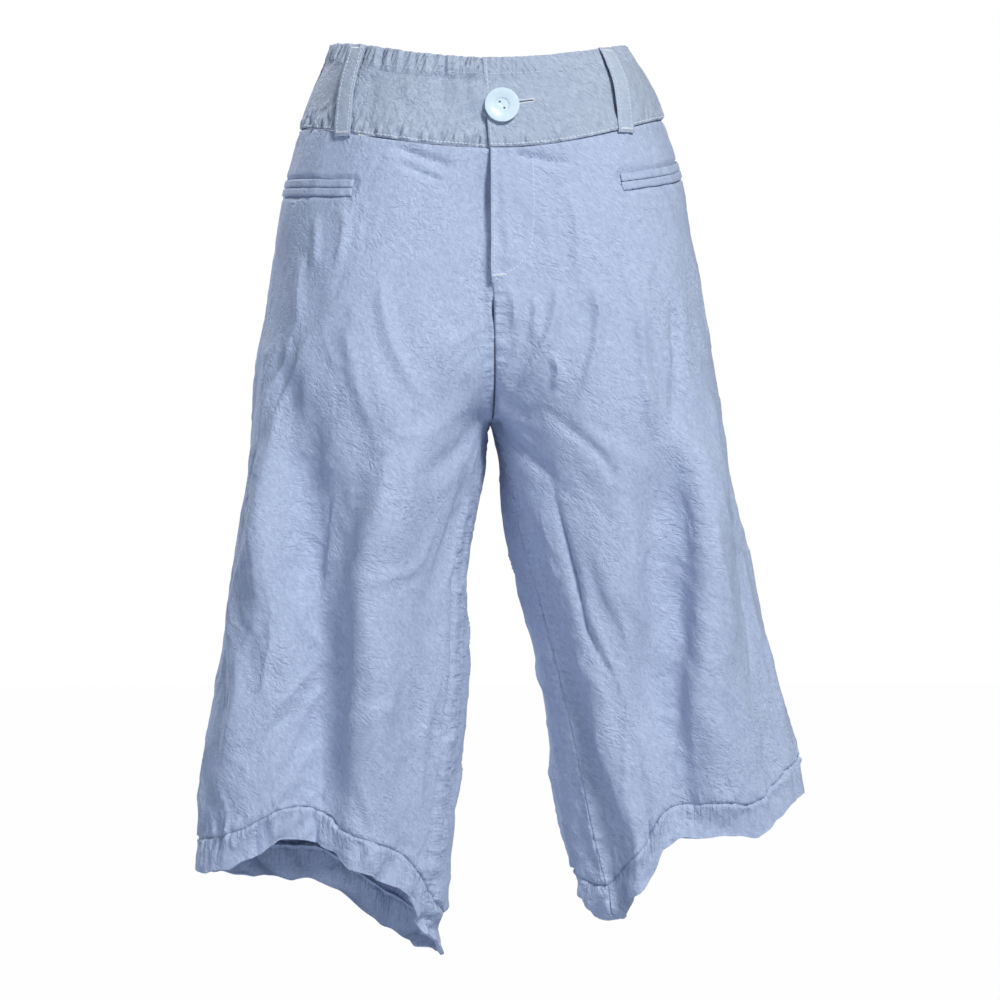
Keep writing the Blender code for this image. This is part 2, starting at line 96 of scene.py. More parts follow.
# Crumples all over: their width, how many times longer they are, how they lean, whether the
# two sides mirror this, how far they stand out, their seed and how sharp they are.
CRUMPLES = (
    (60.0, 2.2, 14.0, False, 2.2, 3.7, 0.0),
    (34.0, 3.4, 14.0, True, 2.3, 8.1, 0.85),
    (15.0, 2.8, 34.0, False, 1.05, 14.3, 0.85),
    (10.0, 6.0, 6.0, True, 0.8, 91.3, 0.6),
)

# Creases: places down the cloth (share across from the inseam, height), how far they stand
# out or sink in before DEEPER, how wide they are towards the inseam and the side seam, how
# soft they are.
DEEPER = 1.75
CREASES = {
    "front_right": (
        (((.44, -300), (.38, -350), (.39, -400), (.39, -460), (.35, -530), (.32, -600), (.27, -680)),
         6.2, 40, 36, 0.6),
        (((.68, -270), (.67, -335), (.60, -395), (.56, -460), (.53, -540), (.50, -610), (.47, -680)),
         -8.0, 40, 44, 0.9),
        (((.70, -270), (.73, -320), (.68, -360), (.60, -425), (.57, -470)), -2.4, 17, 22, 0.8),
        (((.82, -290), (.80, -355), (.75, -425), (.73, -470)), 2.4, 24, 14, 0.5),
        (((.93, -355), (.81, -405), (.87, -450), (.85, -505), (.80, -545), (.82, -590), (.88, -660)),
         2.6, 22, 19, 0.5),
        (((.51, -572), (.58, -602), (.69, -645)), 2.0, 12, 12, 0.2),
        (((.58, -545), (.67, -570), (.80, -600)), -1.8, 10, 14, 0.4),
        (((.50, -600), (.52, -635)), -1.8, 7, 9, 0.3),
        (((.27, -430), (.22, -465), (.15, -500)), -2.0, 9, 12, 0.3),
        (((.15, -255), (.23, -295), (.38, -333)), 2.2, 17, 19, 0.6),
        (((.10, -285), (.20, -330), (.34, -365)), -2.0, 17, 17, 0.8),
        (((.37, -300), (.40, -352)), -1.6, 10, 9, 0.3),
        (((.08, -330), (.13, -400), (.16, -470), (.18, -560)), -1.8, 19, 22, 1.0),
        (((.13, -520), (.15, -580), (.13, -650)), 1.6, 14, 10, 0.2),
        (((.62, -180), (.60, -235), (.57, -290)), -1.0, 19, 22, 1.0),
        (((.30, -170), (.27, -230), (.24, -280)), 1.0, 22, 19, 1.0),
        (((.47, -210), (.46, -260), (.43, -320)), 1.0, 19, 12, 0.8),
        (((.66, -480), (.62, -530), (.60, -585)), 1.6, 24, 17, 0.6),
        (((.46, -640), (.52, -660)), 2.0, 9, 9, 0.3),
        (((.05, -215), (.12, -240), (.22, -255)), 1.2, 9, 9, 0.4),
        (((.54, -622), (.53, -645), (.52, -672)), -2.3, 5, 9, 0.2),
        (((.66, -630), (.65, -650), (.64, -690)), 2.3, 5, 8, 0.2),
        (((.70, -640), (.71, -660), (.70, -690)), -2.0, 6, 6, 0.2),
        (((.37, -652), (.36, -670), (.38, -700)), -2.2, 5, 9, 0.2),
        (((.28, -668), (.28, -695), (.27, -725)), -2.2, 5, 8, 0.2),
        (((.17, -680), (.165, -705), (.17, -735)), 1.9, 6, 6, 0.2),
        (((.085, -92), (.09, -130), (.085, -175), (.08, -225), (.06, -262)), -3.2, 15, 40, 0.6),
        (((.46, -87), (.33, -98), (.17, -112)), -2.7, 6, 9, 0.3),
        (((.41, -101), (.31, -113), (.22, -121)), -1.8, 5, 7, 0.3),
        (((.66, -142), (.64, -165), (.61, -195)), 1.8, 8, 10, 0.4),
        (((.56, -138), (.54, -160), (.53, -190)), 1.6, 7, 9, 0.4),
        (((.69, -175), (.68, -205), (.66, -240)), 2.0, 9, 11, 0.4),
        (((.38, -190), (.37, -245), (.35, -310)), 2.4, 9, 11, 0.5),
        (((.50, -230), (.49, -280), (.46, -330)), 2.2, 9, 12, 0.5),
        (((.19, -235), (.25, -275), (.31, -325)), 2.4, 9, 12, 0.4),
        (((.40, -325), (.375, -360), (.35, -405)), -2.7, 9, 10, 0.3),
    ),
    "front_left": (
        (((.68, -310), (.66, -360), (.61, -430), (.57, -475), (.51, -530), (.47, -585), (.46, -640)),
         6.4, 28, 52, 0.6),
        (((.54, -290), (.52, -360), (.49, -405), (.44, -455), (.39, -500), (.34, -560), (.33, -620)),
         -8.0, 34, 36, 0.9),
        (((.23, -335), (.18, -395), (.17, -440), (.17, -470), (.18, -495), (.24, -535)),
         -3.2, 7, 7, 0.1),
        (((.28, -298), (.37, -340), (.38, -368)), -2.4, 9, 10, 0.2),
        (((.77, -420), (.78, -460), (.75, -500), (.71, -540)), -2.0, 8, 10, 0.1),
        (((.82, -285), (.76, -335), (.71, -395)), 2.2, 19, 24, 0.6),
        (((.90, -300), (.86, -360), (.84, -420)), -1.6, 14, 17, 0.8),
        (((.06, -480), (.07, -540), (.09, -600), (.12, -668)), -2.6, 17, 17, 0.8),
        (((.12, -530), (.13, -585), (.17, -625), (.19, -672)), 3.0, 12, 22, 0.5),
        (((.01, -225), (.04, -262), (.06, -296)), 2.2, 8, 9, 0.3),
        (((.10, -262), (.17, -300), (.27, -322)), 1.8, 12, 12, 0.3),
        (((.07, -300), (.14, -340), (.22, -365)), -2.0, 12, 12, 0.4),
        (((.28, -560), (.30, -600), (.29, -650)), 2.0, 14, 22, 0.6),
        (((.62, -520), (.66, -560), (.67, -610)), 1.8, 17, 19, 0.6),
        (((.86, -470), (.88, -520), (.84, -580)), 1.8, 17, 14, 0.6),
        (((.30, -380), (.27, -430), (.29, -480)), 1.6, 14, 22, 0.8),
        (((.45, -170), (.47, -230), (.45, -290)), 1.0, 22, 24, 1.0),
        (((.72, -160), (.74, -220), (.72, -270)), -1.0, 22, 22, 1.0),
        (((.36, -650), (.44, -662)), 1.8, 9, 9, 0.3),
        (((.030, -98), (.034, -130), (.030, -160), (.036, -192)), 1.8, 5, 6, 0.3),
        (((.062, -105), (.066, -140), (.058, -180)), -1.6, 6, 5, 0.3),
        (((.09, -150), (.092, -175), (.075, -192)), 1.6, 5, 5, 0.3),
        (((.018, -205), (.03, -235), (.02, -262)), 1.8, 6, 8, 0.3),
        (((.05, -215), (.045, -250), (.05, -292)), -1.8, 6, 7, 0.3),
        (((.20, -625), (.19, -650), (.18, -690)), 2.3, 6, 8, 0.2),
        (((.25, -630), (.25, -655), (.24, -680)), -2.3, 5, 6, 0.2),
        (((.12, -640), (.12, -670), (.11, -710)), -2.4, 7, 8, 0.2),
        (((.06, -650), (.065, -685), (.05, -725)), 2.3, 7, 7, 0.2),
        (((.70, -600), (.70, -625), (.71, -650)), 1.6, 6, 7, 0.2),
        (((.84, -590), (.85, -615), (.85, -640)), -1.2, 8, 9, 0.3),
        (((.24, -195), (.22, -245), (.21, -300)), 3.2, 7, 11, 0.4),
        (((.10, -203), (.11, -222), (.12, -242)), 2.0, 5, 7, 0.3),
        (((.167, -208), (.175, -230), (.19, -255)), 2.0, 6, 8, 0.3),
        (((.34, -195), (.367, -245), (.39, -305)), 3.0, 7, 11, 0.4),
        (((.24, -258), (.28, -272), (.31, -290)), 3.0, 6, 8, 0.2),
        (((.49, -205), (.515, -265), (.54, -335)), 3.0, 9, 13, 0.5),
        (((.045, -225), (.055, -270), (.09, -308), (.12, -345)), -2.4, 7, 10, 0.4),
        (((.13, -238), (.14, -265), (.155, -300)), 2.0, 6, 8, 0.3),
        (((.11, -97), (.21, -102), (.34, -106)), -2.3, 5, 8, 0.3),
        (((.91, -125), (.94, -170), (.97, -215)), -1.8, 9, 9, 0.4),
        (((.62, -205), (.63, -265), (.60, -330)), -2.6, 10, 11, 0.5),
        (((.28, -120), (.31, -160), (.30, -205)), 1.6, 8, 10, 0.5),
        (((.42, -150), (.43, -190), (.45, -240)), -1.8, 9, 10, 0.5),
    ),
    "back_right": (
        (((.45, -230), (.47, -310), (.44, -400), (.46, -500), (.42, -600), (.40, -690)),
         3.6, 29, 24, 0.5),
        (((.62, -250), (.60, -330), (.56, -420), (.58, -520)), -3.0, 22, 29, 0.9),
        (((.22, -260), (.26, -340), (.24, -420), (.28, -510)), -2.2, 17, 17, 0.6),
        (((.78, -300), (.74, -380), (.76, -470), (.72, -560)), 2.4, 22, 17, 0.5),
        (((.10, -250), (.20, -285), (.33, -305)), 2.4, 14, 17, 0.6),
        (((.08, -285), (.17, -330), (.28, -360)), -2.2, 14, 17, 0.7),
        (((.60, -560), (.66, -610), (.76, -650)), 2.0, 12, 12, 0.2),
        (((.18, -560), (.20, -620), (.17, -690)), 2.2, 14, 17, 0.6),
        (((.34, -130), (.37, -180), (.34, -230)), 1.0, 24, 24, 1.0),
    ),
    "back_left": (
        (((.40, -240), (.44, -320), (.46, -410), (.41, -500), (.43, -590)), 3.4, 26, 24, 0.5),
        (((.58, -260), (.62, -350), (.57, -440), (.55, -540)), -3.0, 24, 26, 0.9),
        (((.24, -280), (.22, -370), (.26, -450), (.22, -540)), 2.2, 17, 19, 0.6),
        (((.80, -280), (.77, -360), (.80, -450), (.75, -530)), -2.2, 19, 17, 0.6),
        (((.09, -245), (.18, -280), (.30, -312)), 2.4, 14, 17, 0.6),
        (((.07, -290), (.15, -325), (.27, -350)), -2.2, 14, 17, 0.7),
        (((.60, -520), (.68, -560), (.74, -590)), 2.0, 12, 12, 0.2),
        (((.14, -580), (.18, -640), (.16, -690)), 2.2, 14, 17, 0.6),
        (((.40, -120), (.42, -170), (.38, -220)), -1.0, 24, 24, 1.0),
    ),
}


def ease(t):
    """Smooth step from 0 to 1."""
    t = np.clip(t, 0.0, 1.0)
    return t * t * (3.0 - 2.0 * t)


def fade(away, reach, power=1.0):
    """Falls from 1 at no distance to 0 at the reach, faster with a higher power."""
    return np.clip(1.0 - away / reach, 0.0, 1.0) ** power


def outer_face(node, toward, run):
    """Points of a cloth wall's outer face, in rows from its top edge down.

    toward is -1 on the front of the garment and 1 on the back; run is the way that the
    rows go along X.
    """
    shell = bmesh.new()
    shell.from_mesh(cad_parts[node].data)
    bmesh.ops.remove_doubles(shell, verts=shell.verts, dist=WELD)
    layers, unseen = [], set(shell.faces)
    while unseen:
        layer, ahead = set(), [unseen.pop()]
        while ahead:
            face = ahead.pop()
            layer.add(face)
            for edge in face.edges:
                for other in edge.link_faces:
                    if other in unseen and edge.calc_face_angle(math.pi) < RIM_ANGLE:
                        unseen.discard(other)
                        ahead.append(other)
        layers.append(layer)
    layer = max(layers, key=lambda some: sum(f.normal.y * f.calc_area() for f in some) * toward)
    links, rim = {}, {}
    for face in layer:
        for edge in face.edges:
            ways = [links]
            if sum(other in layer for other in edge.link_faces) == 1:
                ways.append(rim)
            for way in ways:
                for vert in edge.verts:
                    way.setdefault(vert, set()).add(edge.other_vert(vert))
    corners = [vert for vert in rim if len(links[vert]) < 4]
    sides = []
    for corner in corners:
        for step in rim[corner]:
            side = [corner, step]
            while side[-1] not in corners:
                side += [vert for vert in rim[side[-1]] if vert not in side]
            span = side[-1].co - side[0].co
            if abs(span.z) < span.xy.length and span.x * run > 0.0:
                sides.append(side)
    rows = [max(sides, key=lambda side: sum(vert.co.z for vert in side) / len(side))]
    used = set(rows[0])
    while len(used) < len(links):
        below = set().union(*(links[vert] for vert in rows[-1])) - used
        ends = [vert for vert in below if len(links[vert] & below) == 1]
        row = [min(ends, key=lambda vert: (vert.co - rows[-1][0].co).length)]
        while len(row) < len(below):
            row += [vert for vert in links[row[-1]] & below if vert not in row]
        used |= below
        rows.append(row)
    points = np.array([[tuple(vert.co) for vert in row] for row in rows])
    shell.free()
    return points


def spline(knots, at):
    """Weights that read a smooth curve through values at the knots."""
    count, step = len(knots), np.diff(knots)
    bend, rise = np.eye(count), np.zeros((count, count))
    for k in range(1, count - 1):
        before, after = step[k - 1], step[k]
        bend[k, k - 1:k + 2] = before, 2.0 * (before + after), after
        rise[k, k - 1:k + 2] = 6.0 / before, -6.0 / before - 6.0 / after, 6.0 / after
    curve = np.linalg.solve(bend, rise)
    k = np.clip(np.searchsorted(knots, at, side="right") - 1, 0, count - 2)
    unit, gap = np.eye(count), step[k]
    far = (at - knots[k]) / gap
    near = 1.0 - far
    return (near[:, None] * unit[k] + far[:, None] * unit[k + 1]
            + ((near ** 3 - near) * gap * gap / 6.0)[:, None] * curve[k]
            + ((far ** 3 - far) * gap * gap / 6.0)[:, None] * curve[k + 1])


def distance_along(points, axis):
    """Distance from the first row or column of a grid, in metres."""
    step = np.linalg.norm(np.diff(points, axis=axis), axis=2)
    start = np.zeros_like(step.take([0], axis=axis))
    return np.cumsum(np.concatenate([start, step], axis=axis), axis=axis)


def refine(grid, cell, corner=0.0, toward=1):
    """The same columns of points read at more rows, about a cell apart.

    With a corner, the first part of each column takes up what runs in under the crotch, so
    that the rest keeps its distance from the side seam.
    """
    knots = distance_along(grid[..., :3], 0)
    count = round(knots[-1].mean() / cell) + 1
    even = np.linspace(0.0, 1.0, count)
    if cell > EDGE_LINES[1] * MM:
        beside = np.array(EDGE_LINES) * MM / knots[-1].mean()
        even = np.sort(np.concatenate([even, beside, 1.0 - beside]))
    fine = []
    for column, own in zip(grid.transpose(1, 0, 2), knots.T):
        hidden = np.max(column[:, 1] * toward) - column[0, 1] * toward if corner else 0.0
        at = own[-1] - (own[-1] - hidden) * (1.0 - even)
        if corner:
            at = np.where(even < corner, np.interp(corner, even, at) * even / corner, at)
        at[0], at[-1] = -MEET * MM, own[-1] + MEET * MM
        fine.append(spline(own, at) @ column)
    return np.stack(fine, axis=1)


def ripple(x, y, seed):
    """Uneven soft waves over a grid of places, between about -1 and 1."""
    flat = [noise.noise(Vector((a, b, seed))) for a, b in zip(x.ravel(), y.ravel())]
    return np.array(flat).reshape(x.shape) * 2.0


class Cloth:
    """A cut piece as a fine grid on its solid's face; lift is how far it stands off it."""

    def __init__(self, node, toward, run, cell, corner=0.0):
        face = outer_face(node, toward, run)
        share = np.broadcast_to(np.linspace(0.0, 1.0, face.shape[1])[:, None], face[..., :1].shape)
        grid = np.concatenate([face, share], axis=2).transpose(1, 0, 2)
        grid = refine(grid, cell * MM, corner, toward).transpose(1, 0, 2)
        grid = refine(grid, cell * MM)
        self.form, self.share = grid[..., :3], grid[..., 3]
        self.toward, self.sense = toward, -run * toward
        self.out = self.facing(self.form)
        self.measure()
        self.lift = np.zeros(self.form.shape[:2])
        self.drop = np.zeros(self.form.shape[:2])
        self.gathers = np.zeros(self.form.shape)

    def measure(self):
        """Distances over the cloth, in millimetres: from its edges and across it."""
        inward = distance_along(self.form, 1) / MM
        downward = distance_along(self.form, 0) / MM
        self.from_start, self.from_end = inward, inward[:, -1:] - inward
        self.from_top, self.from_low = downward, downward[-1:] - downward
        self.height = self.form[..., 2] / MM
        self.wide = inward[:, -1]
        self.across = -self.from_end
        self.warp = self.sense * self.across
        self.stripe = (self.share - 1.0) * self.wide.mean()

    def facing(self, points):
        """Directions that the face looks in."""
        out = np.cross(np.gradient(points, axis=1), np.gradient(points, axis=0))
        out /= np.linalg.norm(out, axis=2)[..., None]
        self.turned = out[..., 1].sum() * self.toward < 0.0
        return -out if self.turned else out

    def beside(self, places):
        """How far each point is from a path of places (share across, height), how far along
        the path it is, from 0 to 1, and on which side of it."""
        places = np.array(places, dtype=float)
        knots = np.arange(len(places), dtype=float)
        steps = np.linspace(0.0, knots[-1], 6 * (len(places) - 1) + 1)
        middle = self.height[:, self.height.shape[1] // 2]
        places[:, 0] = (places[:, 0] - 1.0) * np.interp(-places[:, 1], -middle, self.wide)
        path = spline(knots, steps) @ places
        nearest = np.full(self.lift.shape, np.inf)
        along, outside = np.zeros(self.lift.shape), np.zeros(self.lift.shape, dtype=bool)
        for k in range(len(path) - 1):
            step = path[k + 1] - path[k]
            x, y = self.across - path[k, 0], self.height - path[k, 1]
            t = np.clip((x * step[0] + y * step[1]) / (step @ step), 0.0, 1.0)
            away = np.hypot(x - t * step[0], y - t * step[1])
            closer = away < nearest
            nearest = np.where(closer, away, nearest)
            along = np.where(closer, (k + t) / (len(path) - 1), along)
            outside = np.where(closer, step[0] * y - step[1] * x > 0.0, outside)
        return nearest, along, outside

    def crease(self, places, rise, inward, outward, soft):
        """A ridge or a trough that follows a path and dies out at both ends."""
        nearest, along, outside = self.beside(places)
        off = np.clip(nearest / np.where(outside, outward, inward), 0.0, 1.0)
        form = (1.0 - off) ** 2 * (1.0 + 2.0 * soft * off)
        self.lift += rise * form * ease(np.minimum(along, 1.0 - along) * 3.5)

    def crumple(self, size, stretch, lean, rise, seed, sharp=0.0):
        """Uneven waves all over, longer along a direction that leans from the vertical."""
        turn = math.radians(lean)
        x = self.warp * math.cos(turn) + self.height * math.sin(turn)
        y = -self.warp * math.sin(turn) + self.height * math.cos(turn)
        x = x + 0.5 * size * ripple(x / (1.7 * size), y / (1.7 * size), seed + 0.5)
        wave = ripple(x / size, y / (size * stretch), seed)
        crest = (1.0 - np.minimum(np.hypot(wave, 0.14), 1.0)) ** 3
        patch = ease(0.6 + ripple(x / (3.0 * size), y / (3.0 * size), seed + 0.7))
        self.lift += rise * (wave + ((2.0 * crest - 0.6) * patch - wave) * sharp)

    def pucker(self, along, away, size, reach, rise, seed):
        """Gathers that run away from a line of stitches, deepest beside it."""
        wave = ripple(along / size, away / (3.0 * size), seed)
        self.lift += rise * wave * fade(away, reach, 1.5) * ease(away / SEAM_HOLD)

    def gather(self, way, away, reach, amount):
        """Marks where the material draws gathers too fine for the points of the cloth, and
        whether they run down the cloth or across it."""
        mark = amount * fade(np.maximum(away, 0.0), reach)
        self.gathers[..., way] = np.maximum(self.gathers[..., way], mark)

    def level(self, measure, amount, axis=1):
        """A measure counted from the one row of points that has the amount on average, or
        from such a column with axis 0."""
        nearest = np.abs(measure.mean(axis=axis) - amount).argmin()
        return measure - measure.take([nearest], axis=1 - axis)

    def groove(self, away, width, depth):
        """The sunk line of a seam or of a row of stitches."""
        self.lift -= depth * fade(np.abs(away), width, 2)

    def waves(self, size, seed):
        """Uneven waves that run on from one piece to the next, where their edges meet."""
        places = self.form.reshape(-1, 3) / (size * MM)
        flat = [noise.noise(Vector(place) + Vector((0.0, 0.0, seed))) for place in places]
        return np.array(flat).reshape(self.lift.shape) * 2.0

    def face_centre(self, crotch, reach):
        """Turns the cloth beside a centre seam to look straight ahead, as its two sides do
        where they are sewn together."""
        centre = ease(1.0 - self.from_start / reach) * ease((self.height - crotch) / 6.0 + 1.0)
        self.out[..., 0] *= 1.0 - centre
        self.out /= np.linalg.norm(self.out, axis=2)[..., None]

    def smooth_down(self, height, reach, times):
        """Takes a bend out of the form at one height, away from the inseam."""
        near = ease(1.0 - np.abs(self.height - height) / reach) * ease(self.from_start / 30.0)
        near = 0.5 * near[1:-1, :, None]
        for _ in range(times):
            between = 0.5 * (self.form[:-2] + self.form[2:])
            self.form[1:-1] += (between - self.form[1:-1]) * near
        self.out = self.facing(self.form)
        self.measure()

    def settle(self):
        """Moves the points off the form, and down it at the hem, by what has been added."""
        self.points = self.form + self.out * (self.lift * MM)[..., None]
        self.points[..., 2] -= self.drop * MM
        self.normals = self.facing(self.points)

    def place(self, share, row):
        """Point and direction at a share across and a row that need not be whole."""
        shares = self.share[int(round(row))]
        column = float(np.interp(share, shares, np.arange(len(shares))))
        i, j = min(int(row), len(self.points) - 2), min(int(column), len(shares) - 2)
        a, b = row - i, column - j
        weights = ((i, j, (1 - a) * (1 - b)), (i + 1, j, a * (1 - b)),
                   (i, j + 1, (1 - a) * b), (i + 1, j + 1, a * b))
        point = sum(self.points[p, q] * w for p, q, w in weights)
        out = sum(self.normals[p, q] * w for p, q, w in weights)
        return point, out / np.linalg.norm(out)

    def row(self, share, measure, amount):
        """The row at which a measure, such as the distance from the top, has an amount."""
        shares = self.share[len(self.share) // 2]
        column = int(round(float(np.interp(share, shares, np.arange(len(shares))))))
        values = measure[:, column]
        if values[0] > values[-1]:
            values, amount = -values, -amount
        return float(np.interp(amount, values, np.arange(len(values))))

    def mesh(self, name, thickness, hem=None, turned_in=0.0):
        """The finished cloth: its face from the grid, its wall by a Solidify modifier.  Its
        two sides are turned in where it is sewn to its neighbours."""
        flat = np.stack([self.warp, self.height], axis=2) * MM
        points, low, gathers = self.points, self.from_low, self.gathers
        if turned_in:
            sides = ((0, 0), (1, 1))
            points, flat, gathers = (np.pad(grid, (*sides, (0, 0)), mode="edge")
                                     for grid in (points, flat, gathers))
            low = np.pad(low, sides, mode="edge")
            for side in (0, -1):
                points[:, side] -= self.out[:, side] * turned_in * MM
        rows, columns = low.shape
        index = np.arange(rows * columns).reshape(rows, columns)
        quads = np.stack([index[:-1, :-1], index[:-1, 1:], index[1:, 1:], index[1:, :-1]], -1)
        quads = quads.reshape(-1, 4)
        if self.turned:
            quads = quads[:, ::-1]
        mesh = bpy.data.meshes.new(name)
        mesh.from_pydata(points.reshape(-1, 3).tolist(), [], quads.tolist())
        spread = mesh.uv_layers.new(name="cloth")
        spread.data.foreach_set("uv", flat.reshape(-1, 2)[quads.ravel()].ravel())
        marks = mesh.attributes.new("gathers", "FLOAT_VECTOR", "POINT")
        marks.data.foreach_set("vector", gathers.ravel())
        piece = bpy.data.objects.new(name, mesh)
        bpy.context.collection.objects.link(piece)
        bpy.ops.object.select_all(action="DESELECT")
        bpy.context.view_layer.objects.active = piece
        piece.select_set(True)
        wall = piece.modifiers.new("wall", "SOLIDIFY")
        wall.thickness = thickness * MM
        wall.offset = -1.0
        if hem:
            turned_up = piece.vertex_groups.new(name="hem")
            folded = np.flatnonzero((low < HEM_DEPTH).ravel())
            turned_up.add(folded.tolist(), 1.0, "REPLACE")
            wall.thickness = hem * MM
            wall.vertex_group = "hem"
            wall.thickness_vertex_group = thickness / hem
        bpy.ops.object.modifier_apply(modifier=wall.name)
        bpy.ops.object.shade_smooth_by_angle(angle=SMOOTH_ANGLE)
        return piece


def declare(piece, nodes):
    """Hangs a cloth piece on the garment and hides the solids that it takes the place of."""
    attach(piece, "root")
    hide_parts(*nodes)


def new_node(tree, kind, **values):
    """A shader node with the values that it starts from."""
    node = tree.nodes.new("ShaderNode" + kind)
    for name, value in values.items():
        if name in node.inputs:
            node.inputs[name].default_value = value
        else:
            setattr(node, name, value)
    return node


def mixed(tree, factor, first, second):
    """The socket of a mix of two colours, each given as a value or as a socket."""
    mix = new_node(tree, "Mix", data_type="RGBA")
    tree.links.new(factor, mix.inputs["Factor"])
    for socket, colour in zip(mix.inputs[6:8], (first, second)):       # its colours A and B
        if isinstance(colour, tuple):
            socket.default_value = (*colour, 1.0)
        else:
            tree.links.new(colour, socket)
    return mix.outputs[2]


def new_finish(name, **values):
    """A material, its node tree and its Principled shader with the values given."""
    material = bpy.data.materials.new(name)
    material.use_nodes = True
    shader = material.node_tree.nodes["Principled BSDF"]
    for socket, value in values.items():
        shader.inputs[socket.replace("_", " ")].default_value = value
    return material, material.node_tree, shader


def linen_group():
    """Crinkled linen: fine slanting crinkles, slubs in the yarn and a loose plain weave; its colour
    is darker in the crinkles' hollows, which is painted shade.
    """
    tree = bpy.data.node_groups.new("crinkled linen", "ShaderNodeTree")
    for name, way, kind in (("Cloth", "INPUT", "Vector"), ("Light yarn", "INPUT", "Color"),
                            ("Dark yarn", "INPUT", "Color"), ("Crinkle", "INPUT", "Float"),
                            ("Gathers", "INPUT", "Vector"), ("Colour", "OUTPUT", "Color"),
                            ("Roughness", "OUTPUT", "Float"), ("Height", "OUTPUT", "Float")):
        tree.interface.new_socket(name, in_out=way, socket_type="NodeSocket" + kind)
    start, end = tree.nodes.new("NodeGroupInput"), tree.nodes.new("NodeGroupOutput")
    link = tree.links.new

    def spread(turn, across, along):
        mapping = new_node(tree, "Mapping", vector_type="TEXTURE",
                           Rotation=(0.0, 0.0, math.radians(turn)),
                           Scale=(across * MM, along * MM, 1.0))
        link(start.outputs["Cloth"], mapping.inputs["Vector"])
        return mapping.outputs["Vector"]

    def math_node(operation, first, second):
        node = new_node(tree, "Math", operation=operation)
        for socket, value in zip(node.inputs, (first, second)):
            if isinstance(value, float):
                socket.default_value = value
            else:
                link(value, socket)
        return node.outputs[0]

    def texture(turn, across, along, detail, distortion=0.0):
        node = new_node(tree, "TexNoise", Scale=1.0, Detail=detail, Distortion=distortion)
        link(spread(turn, across, along), node.inputs["Vector"])
        return node.outputs["Fac"]

    def ranged(value, low, high, to_low=0.0, to_high=1.0):
        node = new_node(tree, "MapRange")
        for name, amount in (("From Min", low), ("From Max", high),
                             ("To Min", to_low), ("To Max", to_high)):
            node.inputs[name].default_value = amount
        link(value, node.inputs["Value"])
        return node.outputs["Result"]

    crinkle_deep, crossing_deep, drawn_deep, yarn_deep, weave_deep = 0.75, 2.6, 2.6, 0.12, 0.06
    # patch_shade and yarn_shade are the linen's own uneven tone; the crinkle weight is painted
    # shade, darker colour in the crinkles' hollows
    patch_shade, yarn_shade, crinkle_painted_shade = 0.35, 0.17, 0.75
    crinkle = texture(turn=36.0, across=2.0, along=4.4, detail=3.0, distortion=0.8)
    crossing = texture(turn=58.0, across=4.5, along=9.0, detail=2.0, distortion=1.0)
    slub = texture(turn=0.0, across=11.0, along=0.7, detail=2.0)
    slub_down = texture(turn=0.0, across=0.7, along=11.0, detail=2.0)
    patches = texture(turn=20.0, across=45.0, along=80.0, detail=4.0, distortion=0.5)
    weave = []
    for direction in ("X", "Y"):
        wave = new_node(tree, "TexWave", bands_direction=direction, Scale=190.0, Distortion=1.2,
                        Detail=1.0)
        link(start.outputs["Cloth"], wave.inputs["Vector"])
        weave.append(wave.outputs["Fac"])
    woven = math_node("MULTIPLY", weave[0], weave[1])
    off = math_node("ABSOLUTE", math_node("SUBTRACT", crossing, 0.5), 0.0)
    bumps = math_node("SUBTRACT", math_node("MULTIPLY", crinkle, crinkle_deep),
                      math_node("MULTIPLY", off, crossing_deep))
    amount = ranged(patches, 0.40, 0.60, to_low=0.25, to_high=0.95)
    bumps = math_node("MULTIPLY", bumps, math_node("MULTIPLY", start.outputs["Crinkle"], amount))
    gathers = new_node(tree, "SeparateXYZ")
    link(start.outputs["Gathers"], gathers.inputs["Vector"])
    down = texture(turn=2.0, across=3.5, along=26.0, detail=1.5, distortion=0.3)
    sideways = texture(turn=-2.0, across=26.0, along=4.4, detail=1.5, distortion=0.3)
    drawn = math_node("ADD", math_node("MULTIPLY", down, gathers.outputs["X"]),
                      math_node("MULTIPLY", sideways, gathers.outputs["Y"]))
    bumps = math_node("ADD", bumps, math_node("MULTIPLY", drawn, drawn_deep))
    yarns = math_node("MULTIPLY", math_node("ADD", slub, slub_down), yarn_deep)
    height = math_node("ADD", math_node("ADD", bumps, yarns),
                       math_node("MULTIPLY", woven, weave_deep))
    link(height, end.inputs["Height"])
    # the colour: the yarn's own uneven tone from patches and slubs, plus painted shade in the
    # crinkles' hollows
    shade = math_node("ADD", math_node("MULTIPLY", patches, patch_shade),
                      math_node("MULTIPLY", math_node("ADD", slub, slub_down), yarn_shade))
    shade = math_node("ADD", shade, math_node("MULTIPLY", crinkle, crinkle_painted_shade))
    link(mixed(tree, ranged(shade, 0.50, 0.92), start.outputs["Dark yarn"],
               start.outputs["Light yarn"]), end.inputs["Colour"])
    link(ranged(slub, 0.0, 1.0, to_low=0.92, to_high=0.74), end.inputs["Roughness"])
    return tree


linen = linen_group()


